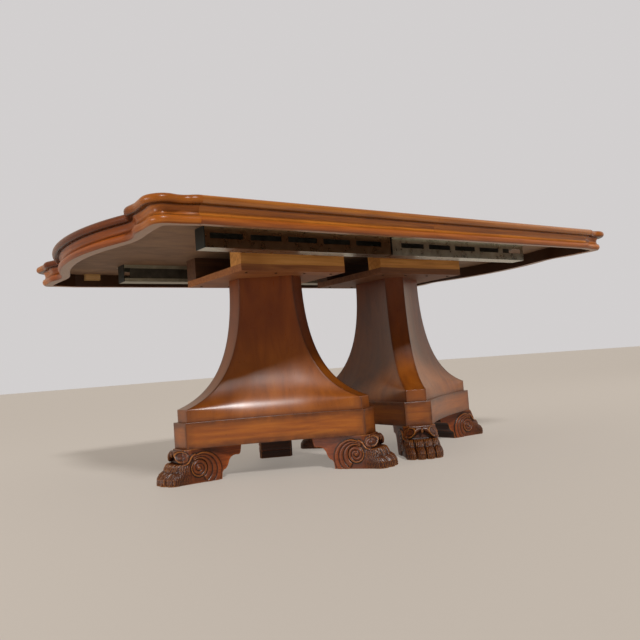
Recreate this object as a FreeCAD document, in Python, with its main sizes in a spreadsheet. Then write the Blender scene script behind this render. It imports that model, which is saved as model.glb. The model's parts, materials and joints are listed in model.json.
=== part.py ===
import FreeCAD, Part
import math
import os
from FreeCAD import Placement, Rotation, Vector

# Pedestal dining table, millimetres, +Z up, origin on the floor under the middle of the top.
# The top is two halves that slide apart along X. The right half is drawn where x is positive;
# the left half is the same drawing turned half round about Z.

SIZES = {
    "top_height": "762",
    "top_length": "1930",
    "top_width": "1168",
    "panel_thick": "22",
    "centre_gap": "0.3",
    "overrun": "2",
    # plan of the shaped end
    "dip_start_back": "166",
    "dip_back": "137",
    "dip_depth": "18",
    "ear_top_back": "85",
    "ear_top_drop": "2",
    "ear_set_back": "46",
    "ear_corner_drop": "44",
    "ear_hollow_depth": "7",
    "ear_hollow_drop": "124",
    "ear_bulb_drop": "174",
    "notch_drop": "236",
    "bow_angle": "23",
    "dip_start_round": "45",
    "dip_round": "40",
    "ear_round": "50",
    "ear_hollow_round": "60",
    "ear_bulb_round": "50",
    "notch_round": "12",
    "moulding_seam_back": "181",
    # section of the edge
    "nosing_width": "24",
    "nosing_bulge": "9",
    "apron_depth": "46",
    "apron_thick": "22",
    "cove_top_inset": "20",
    "cove_inset": "28",
    "bead_inset": "16",
    "bead_height": "15",
    "bead_bulge": "7",
    # glue blocks behind the aprons
    "block_length": "55",
    "block_depth": "20",
    "block_height": "22",
    "side_block_back": "67",
    # extension slides
    "slide_outer": "356",
    "slide_inner": "300",
    "slide_height": "60",
    "slide_gauge": "2",
    "slide_lip": "12",
    "slide_flange": "22",
    "slide_start": "4",
    "slide_length": "671",
    "slide_clearance": "0.3",
    "centre_member_length": "1310",
    "window_length": "104",
    "window_height": "16",
    "window_rise": "26",
    "window_first": "40",
    "window_pitch": "128",
    "stop_plate_thick": "3",
    "slide_screw_first": "52",
    "slide_screw_pitch": "140",
    # alignment pins in the meeting edge
    "pin_diameter": "10",
    "pin_length": "40",
    "pin_spacing": "400",
    # board and cleats under each half
    "pedestal_x": "282",
    "board_side": "400",
    "board_thick": "22",
    "cleat_width": "70",
    "cleat_height": "74",
    # column and plinth
    "column_corner": "70",
    "column_top_reach": "123",
    "column_base_reach": "339",
    "column_band": "40",
    "plinth_corner": "92",
    "plinth_reach": "350",
    "plinth_height": "81",
    # paw feet
    "foot_height": "105",
    "foot_width": "122",
    "foot_back": "165",
    "foot_heel": "240",
    "foot_front": "364",
    "brow_reach": "392",
    "toe_arch": "38",
    "toe_radius": "17",
    "toe_spacing": "31",
    "toe_axis_height": "14",
    "outer_toe_back": "14",
    "palm_radius": "46",
    "big_volute_x": "318",
    "big_volute_z": "46",
    "big_volute_radius": "28",
    "small_volute_x": "370",
    "small_volute_z": "83",
    "small_volute_radius": "19",
    "carving_relief": "3.5",
    # fasteners
    "screw_head_radius": "4.5",
    "screw_head_height": "2.6",
    "screw_radius": "2.2",
    "slide_screw_length": "14",
    "board_screw_length": "52",
    "board_screw_edge": "35",
    "bolt_head_radius": "8",
    "bolt_head_height": "6",
    "bolt_radius": "4",
    "bolt_length": "80",
    "bolt_circle": "58",
    "foot_bolt_x": "285",
    "foot_bolt_length": "120",
    "foot_counterbore": "14",
    "hole_clearance": "0.3",
}

COUNTS = {"windows": 5, "slide_screws": 5, "board_screws": 4, "toes": 4, "toe_facets": 8}

# Share of each wide face's chord that the hollow sides of column and plinth are sunk by, and
# share of the bow's run that stays straight beside each notch.
hollow_share = 0.043
lead_share = 0.03

# Angles in degrees: between two corners of a pedestal, of the bolts on their circle, of the toe's
# lowest section under level, and of the toe's whole bend.
corner_angle = 120
bolt_angles = (60, 180, 300)
toe_drop_angle = 35
toe_bend_angle = 145

# Handles of the column's flare, as shares of its rise and of its spread.
flare_top_share = 0.64
flare_base_shares = (0.60, 0.10)
flare_step_shares = (0.0, 0.16, 0.32, 0.48, 0.62, 0.75, 0.88, 1.0)

# Back of the foot's bracket, from heel to top: shares of heel-to-back run and of foot height.
heel_shares = (0.04, 0.26)
knee_shares = ((0.27, 0.34), (0.36, 0.49))
scoop_shares = ((0.45, 0.63), (0.66, 0.66))
lip_shares = ((0.90, 0.655), (0.985, 0.83))

# Brow over the toes: height shares of its fullest point and of its lower end, and how far back
# the lower end and the top lie, as shares of the brow's overhang past the plinth.
brow_height_shares = (0.82, 0.62)
brow_back_shares = (0.45, 1.0)

# Rings of a volute from rim to eye: radius shares and relief shares.
volute_radius_shares = (1.0, 0.62, 0.24)
volute_relief_shares = (1.0, 1.7, 2.4)

# Reeds round the big volute: inner and outer radius as shares of its radius.
reed_shares = ((1.17, 1.38), (1.52, 1.74))
reed_start_angle = -48
reed_sweep_angle = 150

TURN = {"right": 0, "left": 180}
UP = Vector(0, 0, 1)

doc = FreeCAD.newDocument("PedestalTable")
sheet = doc.addObject("Spreadsheet::Sheet", "Sizes")
for row, (alias, text) in enumerate(SIZES.items(), start=1):
    sheet.set(f"A{row}", alias)
    sheet.set(f"B{row}", text)
    sheet.setAlias(f"B{row}", alias)
doc.recompute()


def size(alias):
    return float(getattr(sheet, alias))


def cell(expression):
    """Writes an expression on sheet cells, where each word is an alias."""
    words = expression.split()
    return " ".join("Sizes." + word if word in SIZES else word for word in words)


# Heights and reaches that several pieces share.
panel_bottom = size("top_height") - size("panel_thick")
apron_bottom = panel_bottom - size("apron_depth")
slide_bottom = panel_bottom - size("slide_height")
half_length = size("top_length") / 2
half_width = size("top_width") / 2
seam_x = half_length - size("moulding_seam_back")
board_top = panel_bottom - size("cleat_height")
board_bottom = board_top - size("board_thick")
plinth_top = size("foot_height") + size("plinth_height")
parts = []


# Drawing helpers

def add_body(label):
    body = doc.addObject("PartDesign::Body", label)
    body.Label = label
    parts.append(body)
    return body


def add_feature(label, shape, placement):
    feature = doc.addObject("Part::Feature", label)
    feature.Label = label
    feature.Shape = shape
    feature.Placement = placement
    parts.append(feature)
    return feature


def add_sketch(body, role, name, geometry, lift=0):
    planes = [item for item in body.Origin.OriginFeatures if item.Role == role]
    sketch = body.newObject("Sketcher::SketchObject", name)
    sketch.AttachmentSupport = (planes[0], [""])
    sketch.MapMode = "FlatFace"
    sketch.AttachmentOffset = Placement(Vector(0, 0, lift), Rotation())
    sketch.addGeometry(geometry, False)
    return sketch


def pad(body, sketch, length, reverse=False):
    feature = body.newObject("PartDesign::Pad", "Pad")
    feature.Profile = sketch
    feature.setExpression("Length", cell(length))
    feature.Reversed = reverse
    doc.recompute()
    return feature


def pocket(body, sketch, depth, reverse=True):
    before = body.Shape.Volume
    feature = body.newObject("PartDesign::Pocket", "Pocket")
    feature.Profile = sketch
    feature.setExpression("Length", cell(depth))
    feature.Reversed = reverse
    doc.recompute()
    if body.Shape.Volume >= before:
        raise RuntimeError(body.Label + ": a pocket cut nothing")
    return feature


def row_along_x(body, sketch, feature, pitch, count):
    """Repeats a feature along the sketch's own first axis."""
    pattern = body.newObject("PartDesign::LinearPattern", "Row")
    pattern.Originals = [feature]
    pattern.Direction = (sketch, ["H_Axis"])
    pattern.Mode = "Spacing"
    pattern.setExpression("Offset", cell(pitch))
    pattern.Occurrences = count
    body.Tip = pattern
    doc.recompute()
    return pattern


def sweep(body, profile, spine):
    feature = body.newObject("PartDesign::AdditivePipe", "Sweep")
    feature.Profile = profile
    feature.Spine = (spine, [])
    feature.Mode = "Frenet"
    doc.recompute()
    return feature


def polygon(points):
    """Closed loop of straight lines through (a, b) pairs."""
    corners = [Vector(a, b, 0) for a, b in points]
    return [Part.LineSegment(p, q) for p, q in zip(corners, corners[1:] + corners[:1])]


def circles(centres, radius):
    return [Part.Circle(Vector(a, b, 0), UP, radius) for a, b in centres]


def half_turn(side, x=0):
    """Placement of a piece of one half, drawn at x on the right half."""
    turn = Placement(Vector(), Rotation(UP, TURN[side]))
    return turn.multiply(Placement(Vector(x, 0, 0), Rotation()))


def place_half(body, side, pedestal=False):
    body.Placement = half_turn(side, size("pedestal_x") if pedestal else 0)
    if pedestal:
        sign = "1" if side == "right" else "-1"
        body.setExpression("Placement.Base.x", cell("pedestal_x * " + sign))


def face_sign(side, face):
    """Sign of Y, before the half turn, on the front (-Y) or rear (+Y) of a half."""
    return -1 if (face == "front") == (side == "right") else 1


# Plan of the top's edge

def end_corners():
    """Corner points and rounding radii of the right half, from front middle to rear middle."""
    angle = math.radians(size("bow_angle"))
    slope = math.tan(angle)
    secant = 1 / math.cos(angle)
    bow_half = half_width - size("notch_drop")
    bow_radius = (1 - lead_share) * bow_half * secant / slope
    rise = bow_half * slope - bow_radius * (secant - 1)
    ear_x = half_length - size("ear_set_back")
    hollow_x = ear_x - size("ear_hollow_depth")
    quarter = [
        (half_length - size("dip_start_back"), half_width, size("dip_start_round")),
        (half_length - size("dip_back"), half_width - size("dip_depth"), size("dip_round")),
        (half_length - size("ear_top_back"), half_width - size("ear_top_drop"), size("ear_round")),
        (ear_x, half_width - size("ear_corner_drop"), size("ear_round")),
        (hollow_x, half_width - size("ear_hollow_drop"), size("ear_hollow_round")),
        (ear_x, half_width - size("ear_bulb_drop"), size("ear_bulb_round")),
        (half_length - rise, bow_half, size("notch_round")),
    ]
    front = [(x, -y, radius) for x, y, radius in quarter]
    apex = (half_length - rise + bow_half * slope, 0, bow_radius)
    return front + [apex] + quarter[::-1]


def rounded_path(start, corners, end, inset):
    """Lines and tangent arcs through rounded corners, moved to the left by inset."""
    points = [Vector(x, y, 0) for x, y in [start] + [corner[:2] for corner in corners] + [end]]
    runs = [second - first for first, second in zip(points, points[1:])]
    ways = [Vector(run).normalize() for run in runs]
    turns = [math.atan2(a.cross(b).z, a.dot(b)) for a, b in zip(ways, ways[1:])]
    halves = [math.tan(abs(turn) / 2) for turn in turns]
    tangents = [corner[2] * half for corner, half in zip(corners, halves)]
    ends = [0] + tangents + [0]
    for i, run in enumerate(runs):
        crowding = max(1, (ends[i] + ends[i + 1]) / run.Length)
        ends[i] /= crowding
        ends[i + 1] /= crowding
    geometry = []
    last = points[0] + UP.cross(ways[0]) * inset
    for i, turn in enumerate(turns):
        corner, tangent = points[i + 1], ends[i + 1]
        radius = tangent / halves[i]
        left_in, left_out = UP.cross(ways[i]), UP.cross(ways[i + 1])
        side = 1 if turn > 0 else -1
        centre = corner - ways[i] * tangent + left_in * (radius * side)
        middle = (left_in + left_out).normalize() * -side
        arc_start = corner - ways[i] * tangent + left_in * inset
        arc_end = corner + ways[i + 1] * tangent + left_out * inset
        if (arc_start - last).Length > size("hole_clearance"):
            geometry.append(Part.LineSegment(last, arc_start))
            last = arc_start
        geometry.append(Part.Arc(last, centre + middle * (radius - side * inset), arc_end))
        last = arc_end
    final = points[-1] + UP.cross(ways[-1]) * inset
    if (final - last).Length > size("hole_clearance"):
        geometry.append(Part.LineSegment(last, final))
    return geometry


def edge_path(from_x, inset):
    return rounded_path((from_x, -half_width), end_corners(), (from_x, half_width), inset)


# Sections of the edge, drawn across the side at one sign of Y

def section_point(sign, inset, height):
    return Vector(sign * (half_width - inset), height, 0)


def nosing_section(sign):
    width, bulge = size("nosing_width"), size("nosing_bulge")
    top = size("top_height")
    middle = (top + panel_bottom) / 2
    back_low = section_point(sign, width, panel_bottom)
    front_low = section_point(sign, bulge, panel_bottom)
    front_high = section_point(sign, bulge, top)
    back_high = section_point(sign, width, top)
    return [
        Part.LineSegment(back_low, front_low),
        Part.Arc(front_low, section_point(sign, 0, middle), front_high),
        Part.LineSegment(front_high, back_high),
        Part.LineSegment(back_high, back_low),
    ]


def apron_section(sign):
    bead_top = apron_bottom + size("bead_height")
    bead_middle = (apron_bottom + bead_top) / 2
    bead_root = size("bead_inset") + size("bead_bulge")
    back = size("bead_inset") + size("apron_thick")
    cove_top = section_point(sign, size("cove_top_inset"), panel_bottom)
    cove_deep = section_point(sign, size("cove_inset"), (panel_bottom + bead_top) / 2)
    crease = section_point(sign, bead_root, bead_top)
    bead_front = section_point(sign, size("bead_inset"), bead_middle)
    bead_foot = section_point(sign, bead_root, apron_bottom)
    back_low = section_point(sign, back, apron_bottom)
    back_high = section_point(sign, back, panel_bottom)
    return [
        Part.Arc(cove_top, cove_deep, crease),
        Part.Arc(crease, bead_front, bead_foot),
        Part.LineSegment(bead_foot, back_low),
        Part.LineSegment(back_low, back_high),
        Part.LineSegment(back_high, cove_top),
    ]


# Fasteners and their places

def pin_places():
    spacing = size("pin_spacing")
    return [(y, size("top_height") - size("panel_thick") / 2) for y in (-spacing, 0, spacing)]


def slide_screw_places():
    first = size("slide_start") + size("slide_screw_first")
    y = size("slide_outer") + size("slide_flange") / 2
    steps = [first + i * size("slide_screw_pitch") for i in range(COUNTS["slide_screws"])]
    return [(x, sign * y) for sign in (-1, 1) for x in steps]


def board_screw_places():
    """Places from the pedestal's axis, in one row along each cleat."""
    y = (size("board_side") - size("cleat_width")) / 2
    reach = size("board_side") / 2 - size("board_screw_edge")
    step = 2 * reach / (COUNTS["board_screws"] - 1)
    xs = [-reach + i * step for i in range(COUNTS["board_screws"])]
    return [(x, sign * y) for sign in (-1, 1) for x in xs]


def bolt_places():
    radius = size("bolt_circle")
    angles = [math.radians(a) for a in bolt_angles]
    return [(radius * math.cos(a), radius * math.sin(a)) for a in angles]


def fastener(head_radius, head_height, shank_radius, shank_length):
    """Head under z = 0, shank above it."""
    head = Part.makeCylinder(head_radius, head_height, Vector(0, 0, -head_height))
    shank = Part.makeCylinder(shank_radius, shank_length)
    return head.fuse(shank).removeSplitter()


def at_places(shape, places, height):
    copies = []
    for x, y in places:
        copy = shape.copy()
        copy.translate(Vector(x, y, height))
        copies.append(copy)
    return Part.makeCompound(copies)


# Pieces of the top

def top_panel(side):
    body = add_body(side + "_top_panel")
    start = size("centre_gap")
    inset = size("nosing_width")
    outline = edge_path(start, inset)
    front = Vector(start, -half_width + inset, 0)
    rear = Vector(start, half_width - inset, 0)
    outline.append(Part.LineSegment(rear, front))
    pad(body, add_sketch(body, "XY_Plane", "Outline", outline, panel_bottom), "panel_thick")
    hole = size("screw_radius") + size("hole_clearance")
    holes = circles(slide_screw_places(), hole)
    pocket(body, add_sketch(body, "XY_Plane", "PilotHoles", holes, panel_bottom),
           "slide_screw_length + hole_clearance")
    pins = circles(pin_places(), size("pin_diameter") / 2 + size("hole_clearance"))
    pocket(body, add_sketch(body, "YZ_Plane", "PinHoles", pins, start),
           "pin_length / 2 + hole_clearance")
    place_half(body, side)


def swept_end(side, name, section):
    body = add_body(f"{side}_end_{name}")
    profile = add_sketch(body, "YZ_Plane", "Section", section(-1), seam_x)
    spine = add_sketch(body, "XY_Plane", "Edge", edge_path(seam_x, 0), panel_bottom)
    sweep(body, profile, spine)
    place_half(body, side)


def straight_side(side, face, name, section):
    body = add_body(f"{side}_{face}_{name}")
    drawn = section(face_sign(side, face))
    sketch = add_sketch(body, "YZ_Plane", "Section", drawn, size("centre_gap"))
    pad(body, sketch, "top_length / 2 - moulding_seam_back - centre_gap")
    place_half(body, side)


def glue_blocks(side):
    length, depth, height = size("block_length"), size("block_depth"), size("block_height")
    inner = half_width - size("bead_inset") - size("apron_thick")
    low = panel_bottom - height
    x = seam_x - size("side_block_back") - length / 2
    blocks = [
        Part.makeBox(length, depth, height, Vector(x, -inner, low)),
        Part.makeBox(length, depth, height, Vector(x, inner - depth, low)),
    ]
    add_feature(side + "_apron_blocks", Part.makeCompound(blocks), half_turn(side))


def alignment_pins():
    radius = size("pin_diameter") / 2
    length = size("pin_length")
    pins = [Part.makeCylinder(radius, length, Vector(-length / 2, y, z), Vector(1, 0, 0))
            for y, z in pin_places()]
    add_feature("left_alignment_pins", Part.makeCompound(pins), Placement())


# Extension slides

def channel_section(sign):
    outer, inner = size("slide_outer"), size("slide_inner")
    gauge, lip = size("slide_gauge"), size("slide_lip")
    edge = outer + size("slide_flange")
    top, low = panel_bottom, slide_bottom
    points = [
        (edge, top), (inner, top), (inner, top - lip), (inner + gauge, top - lip),
        (inner + gauge, top - gauge), (outer - gauge, top - gauge), (outer - gauge, low + gauge),
        (inner + gauge, low + gauge), (inner + gauge, low + lip), (inner, low + lip),
        (inner, low), (outer, low), (outer, top - gauge), (edge, top - gauge),
    ]
    return polygon([(sign * y, z) for y, z in points])


def slide_channel(side, face):
    body = add_body(f"{side}_{face}_slide_channel")
    sign = face_sign(side, face)
    start, gauge = size("slide_start"), size("slide_gauge")
    section = add_sketch(body, "YZ_Plane", "Section", channel_section(sign), start)
    pad(body, section, "slide_length")
    low = slide_bottom + size("window_rise")
    left = start + size("window_first")
    right = left + size("window_length")
    high = low + size("window_height")
    window = polygon([(left, low), (right, low), (right, high), (left, high)])
    web = sign * (size("slide_outer") + size("overrun"))
    sketch = add_sketch(body, "XZ_Plane", "Window", window, -web)
    cut = pocket(body, sketch, "slide_gauge + overrun * 2", sign > 0)
    row_along_x(body, sketch, cut, "window_pitch", COUNTS["windows"])
    y = sign * (size("slide_outer") + size("slide_flange") / 2)
    hole = circles([(start + size("slide_screw_first"), y)],
                   size("screw_radius") + size("hole_clearance"))
    sketch = add_sketch(body, "XY_Plane", "ScrewHole", hole, panel_bottom - gauge)
    cut = pocket(body, sketch, "slide_gauge")
    row_along_x(body, sketch, cut, "slide_screw_pitch", COUNTS["slide_screws"])
    place_half(body, side)


def slide_screws(side):
    screw = fastener(size("screw_head_radius"), size("screw_head_height"), size("screw_radius"),
                     size("slide_screw_length") + size("slide_gauge"))
    group = at_places(screw, slide_screw_places(), panel_bottom - size("slide_gauge"))
    add_feature(side + "_slide_screws", group, half_turn(side))


def stop_plates():
    """Stop plates on the left ends of the two slides."""
    thick = size("stop_plate_thick")
    width = size("slide_outer") - size("slide_inner")
    x = size("slide_start") + size("slide_length")
    plates = [Part.makeBox(thick, width, size("slide_height"), Vector(x, y, slide_bottom))
              for y in (-size("slide_outer"), size("slide_inner"))]
    add_feature("left_slide_stop_plates", Part.makeCompound(plates), half_turn("left"))


def centre_member(face):
    body = add_body(face + "_centre_slide")
    sign = face_sign("right", face)
    gauge = size("slide_gauge")
    play = gauge + size("slide_clearance")
    outer, inner = size("slide_outer") - play, size("slide_inner") + play
    top, low = panel_bottom - play, slide_bottom + play
    points = [
        (outer, low), (inner, low), (inner, top), (outer, top),
        (outer, top - gauge), (inner + gauge, top - gauge),
        (inner + gauge, low + gauge), (outer, low + gauge),
    ]
    section = polygon([(sign * y, z) for y, z in points])
    start = -size("centre_member_length") / 2
    pad(body, add_sketch(body, "YZ_Plane", "Section", section, start), "centre_member_length")


# Board and cleats

def cleat(side, face):
    body = add_body(f"{side}_{face}_cleat")
    sign = face_sign(side, face)
    reach = size("board_side") / 2
    inner = reach - size("cleat_width")
    outline = polygon([(-reach, sign * inner), (reach, sign * inner),
                       (reach, sign * reach), (-reach, sign * reach)])
    pad(body, add_sketch(body, "XY_Plane", "Outline", outline, board_top), "cleat_height")
    places = [(x, y) for x, y in board_screw_places() if y * sign > 0]
    holes = circles(places, size("screw_radius") + size("hole_clearance"))
    pocket(body, add_sketch(body, "XY_Plane", "PilotHoles", holes, board_top),
           "board_screw_length - board_thick + hole_clearance")
    place_half(body, side, True)


def mounting_board(side):
    body = add_body(side + "_mounting_board")
    reach = size("board_side") / 2
    clear = size("hole_clearance")
    outline = polygon([(-reach, -reach), (reach, -reach), (reach, reach), (-reach, reach)])
    outline += circles(board_screw_places(), size("screw_radius") + clear)
    outline += circles(bolt_places(), size("bolt_radius") + clear)
    pad(body, add_sketch(body, "XY_Plane", "Outline", outline, board_bottom), "board_thick")
    place_half(body, side, True)


def board_screws(side):
    screw = fastener(size("screw_head_radius"), size("screw_head_height"), size("screw_radius"),
                     size("board_screw_length"))
    group = at_places(screw, board_screw_places(), board_bottom)
    add_feature(side + "_board_screws", group, half_turn(side, size("pedestal_x")))


# Column and plinth

def hollow_triangle(reach, corner):
    """Three flat corners of one width, joined by three hollow sides."""
    half = corner / 2
    geometry = []
    flats = []
    for k in range(3):
        turn = Rotation(UP, corner_angle * k)
        flats.append((turn.multVec(Vector(reach, -half, 0)), turn.multVec(Vector(reach, half, 0))))
    for k, (first, second) in enumerate(flats):
        nearest = flats[(k + 1) % 3][0]
        middle = (second + nearest) / 2
        chord = (nearest - second).Length
        inward = (middle * -1).normalize() * (chord * hollow_share)
        geometry.append(Part.LineSegment(first, second))
        geometry.append(Part.Arc(second, middle + inward, nearest))
    return geometry


def flare_point(share, low, high):
    """Point (reach, height) on the column's flare, from its foot to its top."""
    spread = size("column_base_reach") - size("column_top_reach")
    rise = high - low
    along, up = flare_base_shares
    handles = [
        (size("column_base_reach"), low),
        (size("column_base_reach") - along * spread, low + up * rise),
        (size("column_top_reach"), high - flare_top_share * rise),
        (size("column_top_reach"), high),
    ]
    rest = 1 - share
    weights = (rest ** 3, 3 * rest ** 2 * share, 3 * rest * share ** 2, share ** 3)
    return tuple(sum(w * p[i] for w, p in zip(weights, handles)) for i in (0, 1))


def column(side):
    body = add_body(side + "_column")
    corner = size("column_corner")
    foot = hollow_triangle(size("column_base_reach"), corner)
    pad(body, add_sketch(body, "XY_Plane", "Band", foot, plinth_top), "column_band")
    low = plinth_top + size("column_band")
    levels = [flare_point(share, low, board_bottom) for share in flare_step_shares]
    sketches = [add_sketch(body, "XY_Plane", "Flare", hollow_triangle(reach, corner), height)
                for reach, height in levels]
    loft = body.newObject("PartDesign::AdditiveLoft", "Loft")
    loft.Profile = sketches[0]
    loft.Sections = sketches[1:]
    doc.recompute()
    holes = circles(bolt_places(), size("bolt_radius") + size("hole_clearance"))
    pocket(body, add_sketch(body, "XY_Plane", "BoltHoles", holes, board_bottom),
           "bolt_length - board_thick + hole_clearance", False)
    place_half(body, side, True)


def column_bolts(side):
    bolt = fastener(size("bolt_head_radius"), size("bolt_head_height"), size("bolt_radius"),
                    size("bolt_length"))
    bolt.rotate(Vector(), Vector(1, 0, 0), 180)
    group = at_places(bolt, bolt_places(), board_top)
    add_feature(side + "_column_bolts", group, half_turn(side, size("pedestal_x")))


def foot_bolt_places():
    radius = size("foot_bolt_x")
    angles = [math.radians(corner_angle * k) for k in range(3)]
    return [(radius * math.cos(a), radius * math.sin(a)) for a in angles]


def plinth(side):
    body = add_body(side + "_plinth")
    outline = hollow_triangle(size("plinth_reach"), size("plinth_corner"))
    pad(body, add_sketch(body, "XY_Plane", "Outline", outline, size("foot_height")), "plinth_height")
    holes = circles(foot_bolt_places(), size("bolt_radius") + size("hole_clearance"))
    pocket(body, add_sketch(body, "XY_Plane", "BoltHoles", holes, size("foot_height")),
           "foot_bolt_length + foot_counterbore - foot_height + hole_clearance")
    place_half(body, side, True)


def foot_bolts(side):
    bolt = fastener(size("bolt_head_radius"), size("bolt_head_height"), size("bolt_radius"),
                    size("foot_bolt_length"))
    group = at_places(bolt, foot_bolt_places(), size("foot_counterbore"))
    add_feature(side + "_foot_bolts", group, half_turn(side, size("pedestal_x")))


# Paw feet, drawn with X outwards from the pedestal's axis

def foot_point(along, up):
    """Point of the bracket's back from shares of the run from heel to back and of the height."""
    run = size("foot_heel") - size("foot_back")
    return Vector(size("foot_heel") - along * run, 0, up * size("foot_height"))


def foot_bracket():
    height = size("foot_height")
    brow = size("brow_reach")
    plinth_face = size("plinth_reach")
    overhang = brow - plinth_face
    full, low = brow_height_shares
    under, back = brow_back_shares
    heel = Vector(size("foot_heel"), 0, 0)
    step = foot_point(*heel_shares)
    knee_middle, knee = [foot_point(*pair) for pair in knee_shares]
    scoop_middle, scoop = [foot_point(*pair) for pair in scoop_shares]
    lip, lip_middle = [foot_point(*pair) for pair in lip_shares]
    top_back = Vector(size("foot_back"), 0, height)
    top_front = Vector(brow - back * overhang, 0, height)
    brow_full = Vector(brow, 0, full * height)
    brow_low = Vector(brow - under * overhang, 0, low * height)
    toe_root = Vector(size("foot_front"), 0, size("toe_axis_height"))
    sole_front = Vector(size("foot_front"), 0, 0)
    outline = [
        Part.LineSegment(heel, step),
        Part.Arc(step, knee_middle, knee),
        Part.Arc(knee, scoop_middle, scoop),
        Part.LineSegment(scoop, lip),
        Part.Arc(lip, lip_middle, top_back),
        Part.LineSegment(top_back, top_front),
        Part.Arc(top_front, brow_full, brow_low),
        Part.LineSegment(brow_low, toe_root),
        Part.LineSegment(toe_root, sole_front),
        Part.LineSegment(sole_front, heel),
    ]
    width = size("foot_width")
    face = Part.Face(Part.Wire([curve.toShape() for curve in outline]))
    face.translate(Vector(0, -width / 2, 0))
    return face.extrude(Vector(0, width, 0))


def across(radius, reach, x, z):
    """Round bar through the foot from side to side."""
    return Part.makeCylinder(radius, 2 * reach, Vector(x, -reach, z), Vector(0, 1, 0))


def volute(x, z, radius):
    half = size("foot_width") / 2
    relief = size("carving_relief")
    rings = [across(radius * r, half + relief * h, x, z)
             for r, h in zip(volute_radius_shares, volute_relief_shares)]
    return rings[0].multiFuse(rings[1:])


def reed(inner_share, outer_share):
    """Raised moulding round the back of the big volute, on both sides."""
    radius = size("big_volute_radius")
    reach = size("foot_width") / 2 + size("carving_relief")
    inner, outer = radius * inner_share, radius * outer_share
    first = math.radians(180 + reed_start_angle)
    ends = []
    for share in (0, 0.5, 1):
        angle = first - math.radians(reed_sweep_angle) * share
        ends.append(Vector(math.cos(angle), 0, math.sin(angle)))
    centre = Vector(size("big_volute_x"), -reach, size("big_volute_z"))
    out_arc = Part.Arc(*[centre + e * outer for e in ends]).toShape()
    in_arc = Part.Arc(*[centre + e * inner for e in ends[::-1]]).toShape()
    caps = [Part.makeLine(centre + ends[2] * outer, centre + ends[2] * inner),
            Part.makeLine(centre + ends[0] * inner, centre + ends[0] * outer)]
    face = Part.Face(Part.Wire([out_arc, caps[0], in_arc, caps[1]]))
    return face.extrude(Vector(0, 2 * reach, 0))


def toe(y, back):
    """One arched toe: an eight-sided bar bent over the knuckle down to the floor."""
    x, z = size("foot_front") - back, size("toe_axis_height")
    radius = size("toe_radius")
    toe_facets = COUNTS["toe_facets"]
    ring = [Vector(x + size("toe_arch") + radius * math.cos(a), y + radius * math.sin(a), z)
            for a in [2 * math.pi * (k + 0.5) / toe_facets for k in range(toe_facets)]]
    face = Part.Face(Part.makePolygon(ring + ring[:1]))
    axis_point = Vector(x, y, z)
    face.rotate(axis_point, Vector(0, 1, 0), toe_drop_angle)
    return face.revolve(axis_point, Vector(0, -1, 0), toe_bend_angle)


def paw_foot():
    height, width = size("foot_height"), size("foot_width")
    steps = [i - (COUNTS["toes"] - 1) / 2 for i in range(COUNTS["toes"])]
    toes = [toe(step * size("toe_spacing"), size("outer_toe_back") if step in (steps[0], steps[-1]) else 0)
            for step in steps]
    palm = across(size("palm_radius"), width / 2, size("foot_front"), size("toe_axis_height"))
    big = volute(size("big_volute_x"), size("big_volute_z"), size("big_volute_radius"))
    small = volute(size("small_volute_x"), size("small_volute_z"), size("small_volute_radius"))
    reeds = [reed(inner, outer) for inner, outer in reed_shares]
    solid = foot_bracket().multiFuse([palm, big, small] + reeds + toes)
    over = size("overrun")
    reach = size("foot_front") + size("toe_arch") + size("toe_radius") + over
    room = Part.makeBox(reach, 2 * width, height, Vector(0, -width, 0))
    solid = solid.common(room).removeSplitter()
    clear = size("hole_clearance")
    bolt_x = size("foot_bolt_x")
    shank = Part.makeCylinder(size("bolt_radius") + clear, height + over, Vector(bolt_x, 0, -over))
    bore = Part.makeCylinder(size("bolt_head_radius") + clear, size("foot_counterbore") + over,
                             Vector(bolt_x, 0, -over))
    return solid.cut(shank.fuse(bore)).Solids[0]


def feet(side, shape):
    base = half_turn(side, size("pedestal_x"))
    step = corner_angle * face_sign(side, "rear")
    for name, angle in (("outer", 0), ("inner_front", -step), ("inner_rear", step)):
        turn = Placement(Vector(), Rotation(UP, angle))
        add_feature(f"{side}_{name}_foot", shape.copy(), base.multiply(turn))


# Whole table

foot_shape = paw_foot()
for half in TURN:
    top_panel(half)
    swept_end(half, "nosing", nosing_section)
    swept_end(half, "apron", apron_section)
    for face in ("front", "rear"):
        straight_side(half, face, "nosing", nosing_section)
        straight_side(half, face, "apron", apron_section)
        slide_channel(half, face)
        cleat(half, face)
    glue_blocks(half)
    slide_screws(half)
    mounting_board(half)
    board_screws(half)
    column(half)
    column_bolts(half)
    plinth(half)
    foot_bolts(half)
    feet(half, foot_shape)
alignment_pins()
stop_plates()
for face in ("front", "rear"):
    centre_member(face)
doc.recompute()

for item in doc.Objects:
    if "Invalid" in item.State or "Error" in item.State:
        raise RuntimeError(item.Label + " failed: " + ", ".join(item.State))
for piece in parts:
    if piece.Shape.isNull() or not piece.Shape.isValid():
        raise RuntimeError(piece.Label + " has no valid shape")

os.makedirs("parts", exist_ok=True)
for piece in parts:
    piece.Shape.exportStep(os.path.join("parts", piece.Label + ".step"))
    print(piece.Label, len(piece.Shape.Solids), round(piece.Shape.Volume / 1000), "cm3")
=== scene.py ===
# %% [markdown]
# # An extending dining table on two carved pedestals
# The solids of the table come from the construction model and stay where they are: they are
# the frame that everything here is fitted to. This lesson gives each piece the finish that the
# real one has, and rebuilds the pieces whose shape is richer than a plain solid: the lacquered
# columns and plinths with their eased corners, the moulded aprons, and the carved paw feet.

# %% Load the construction model
import json
import math

import bmesh
import bpy
import numpy as np
from mathutils import Matrix, Vector


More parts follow.
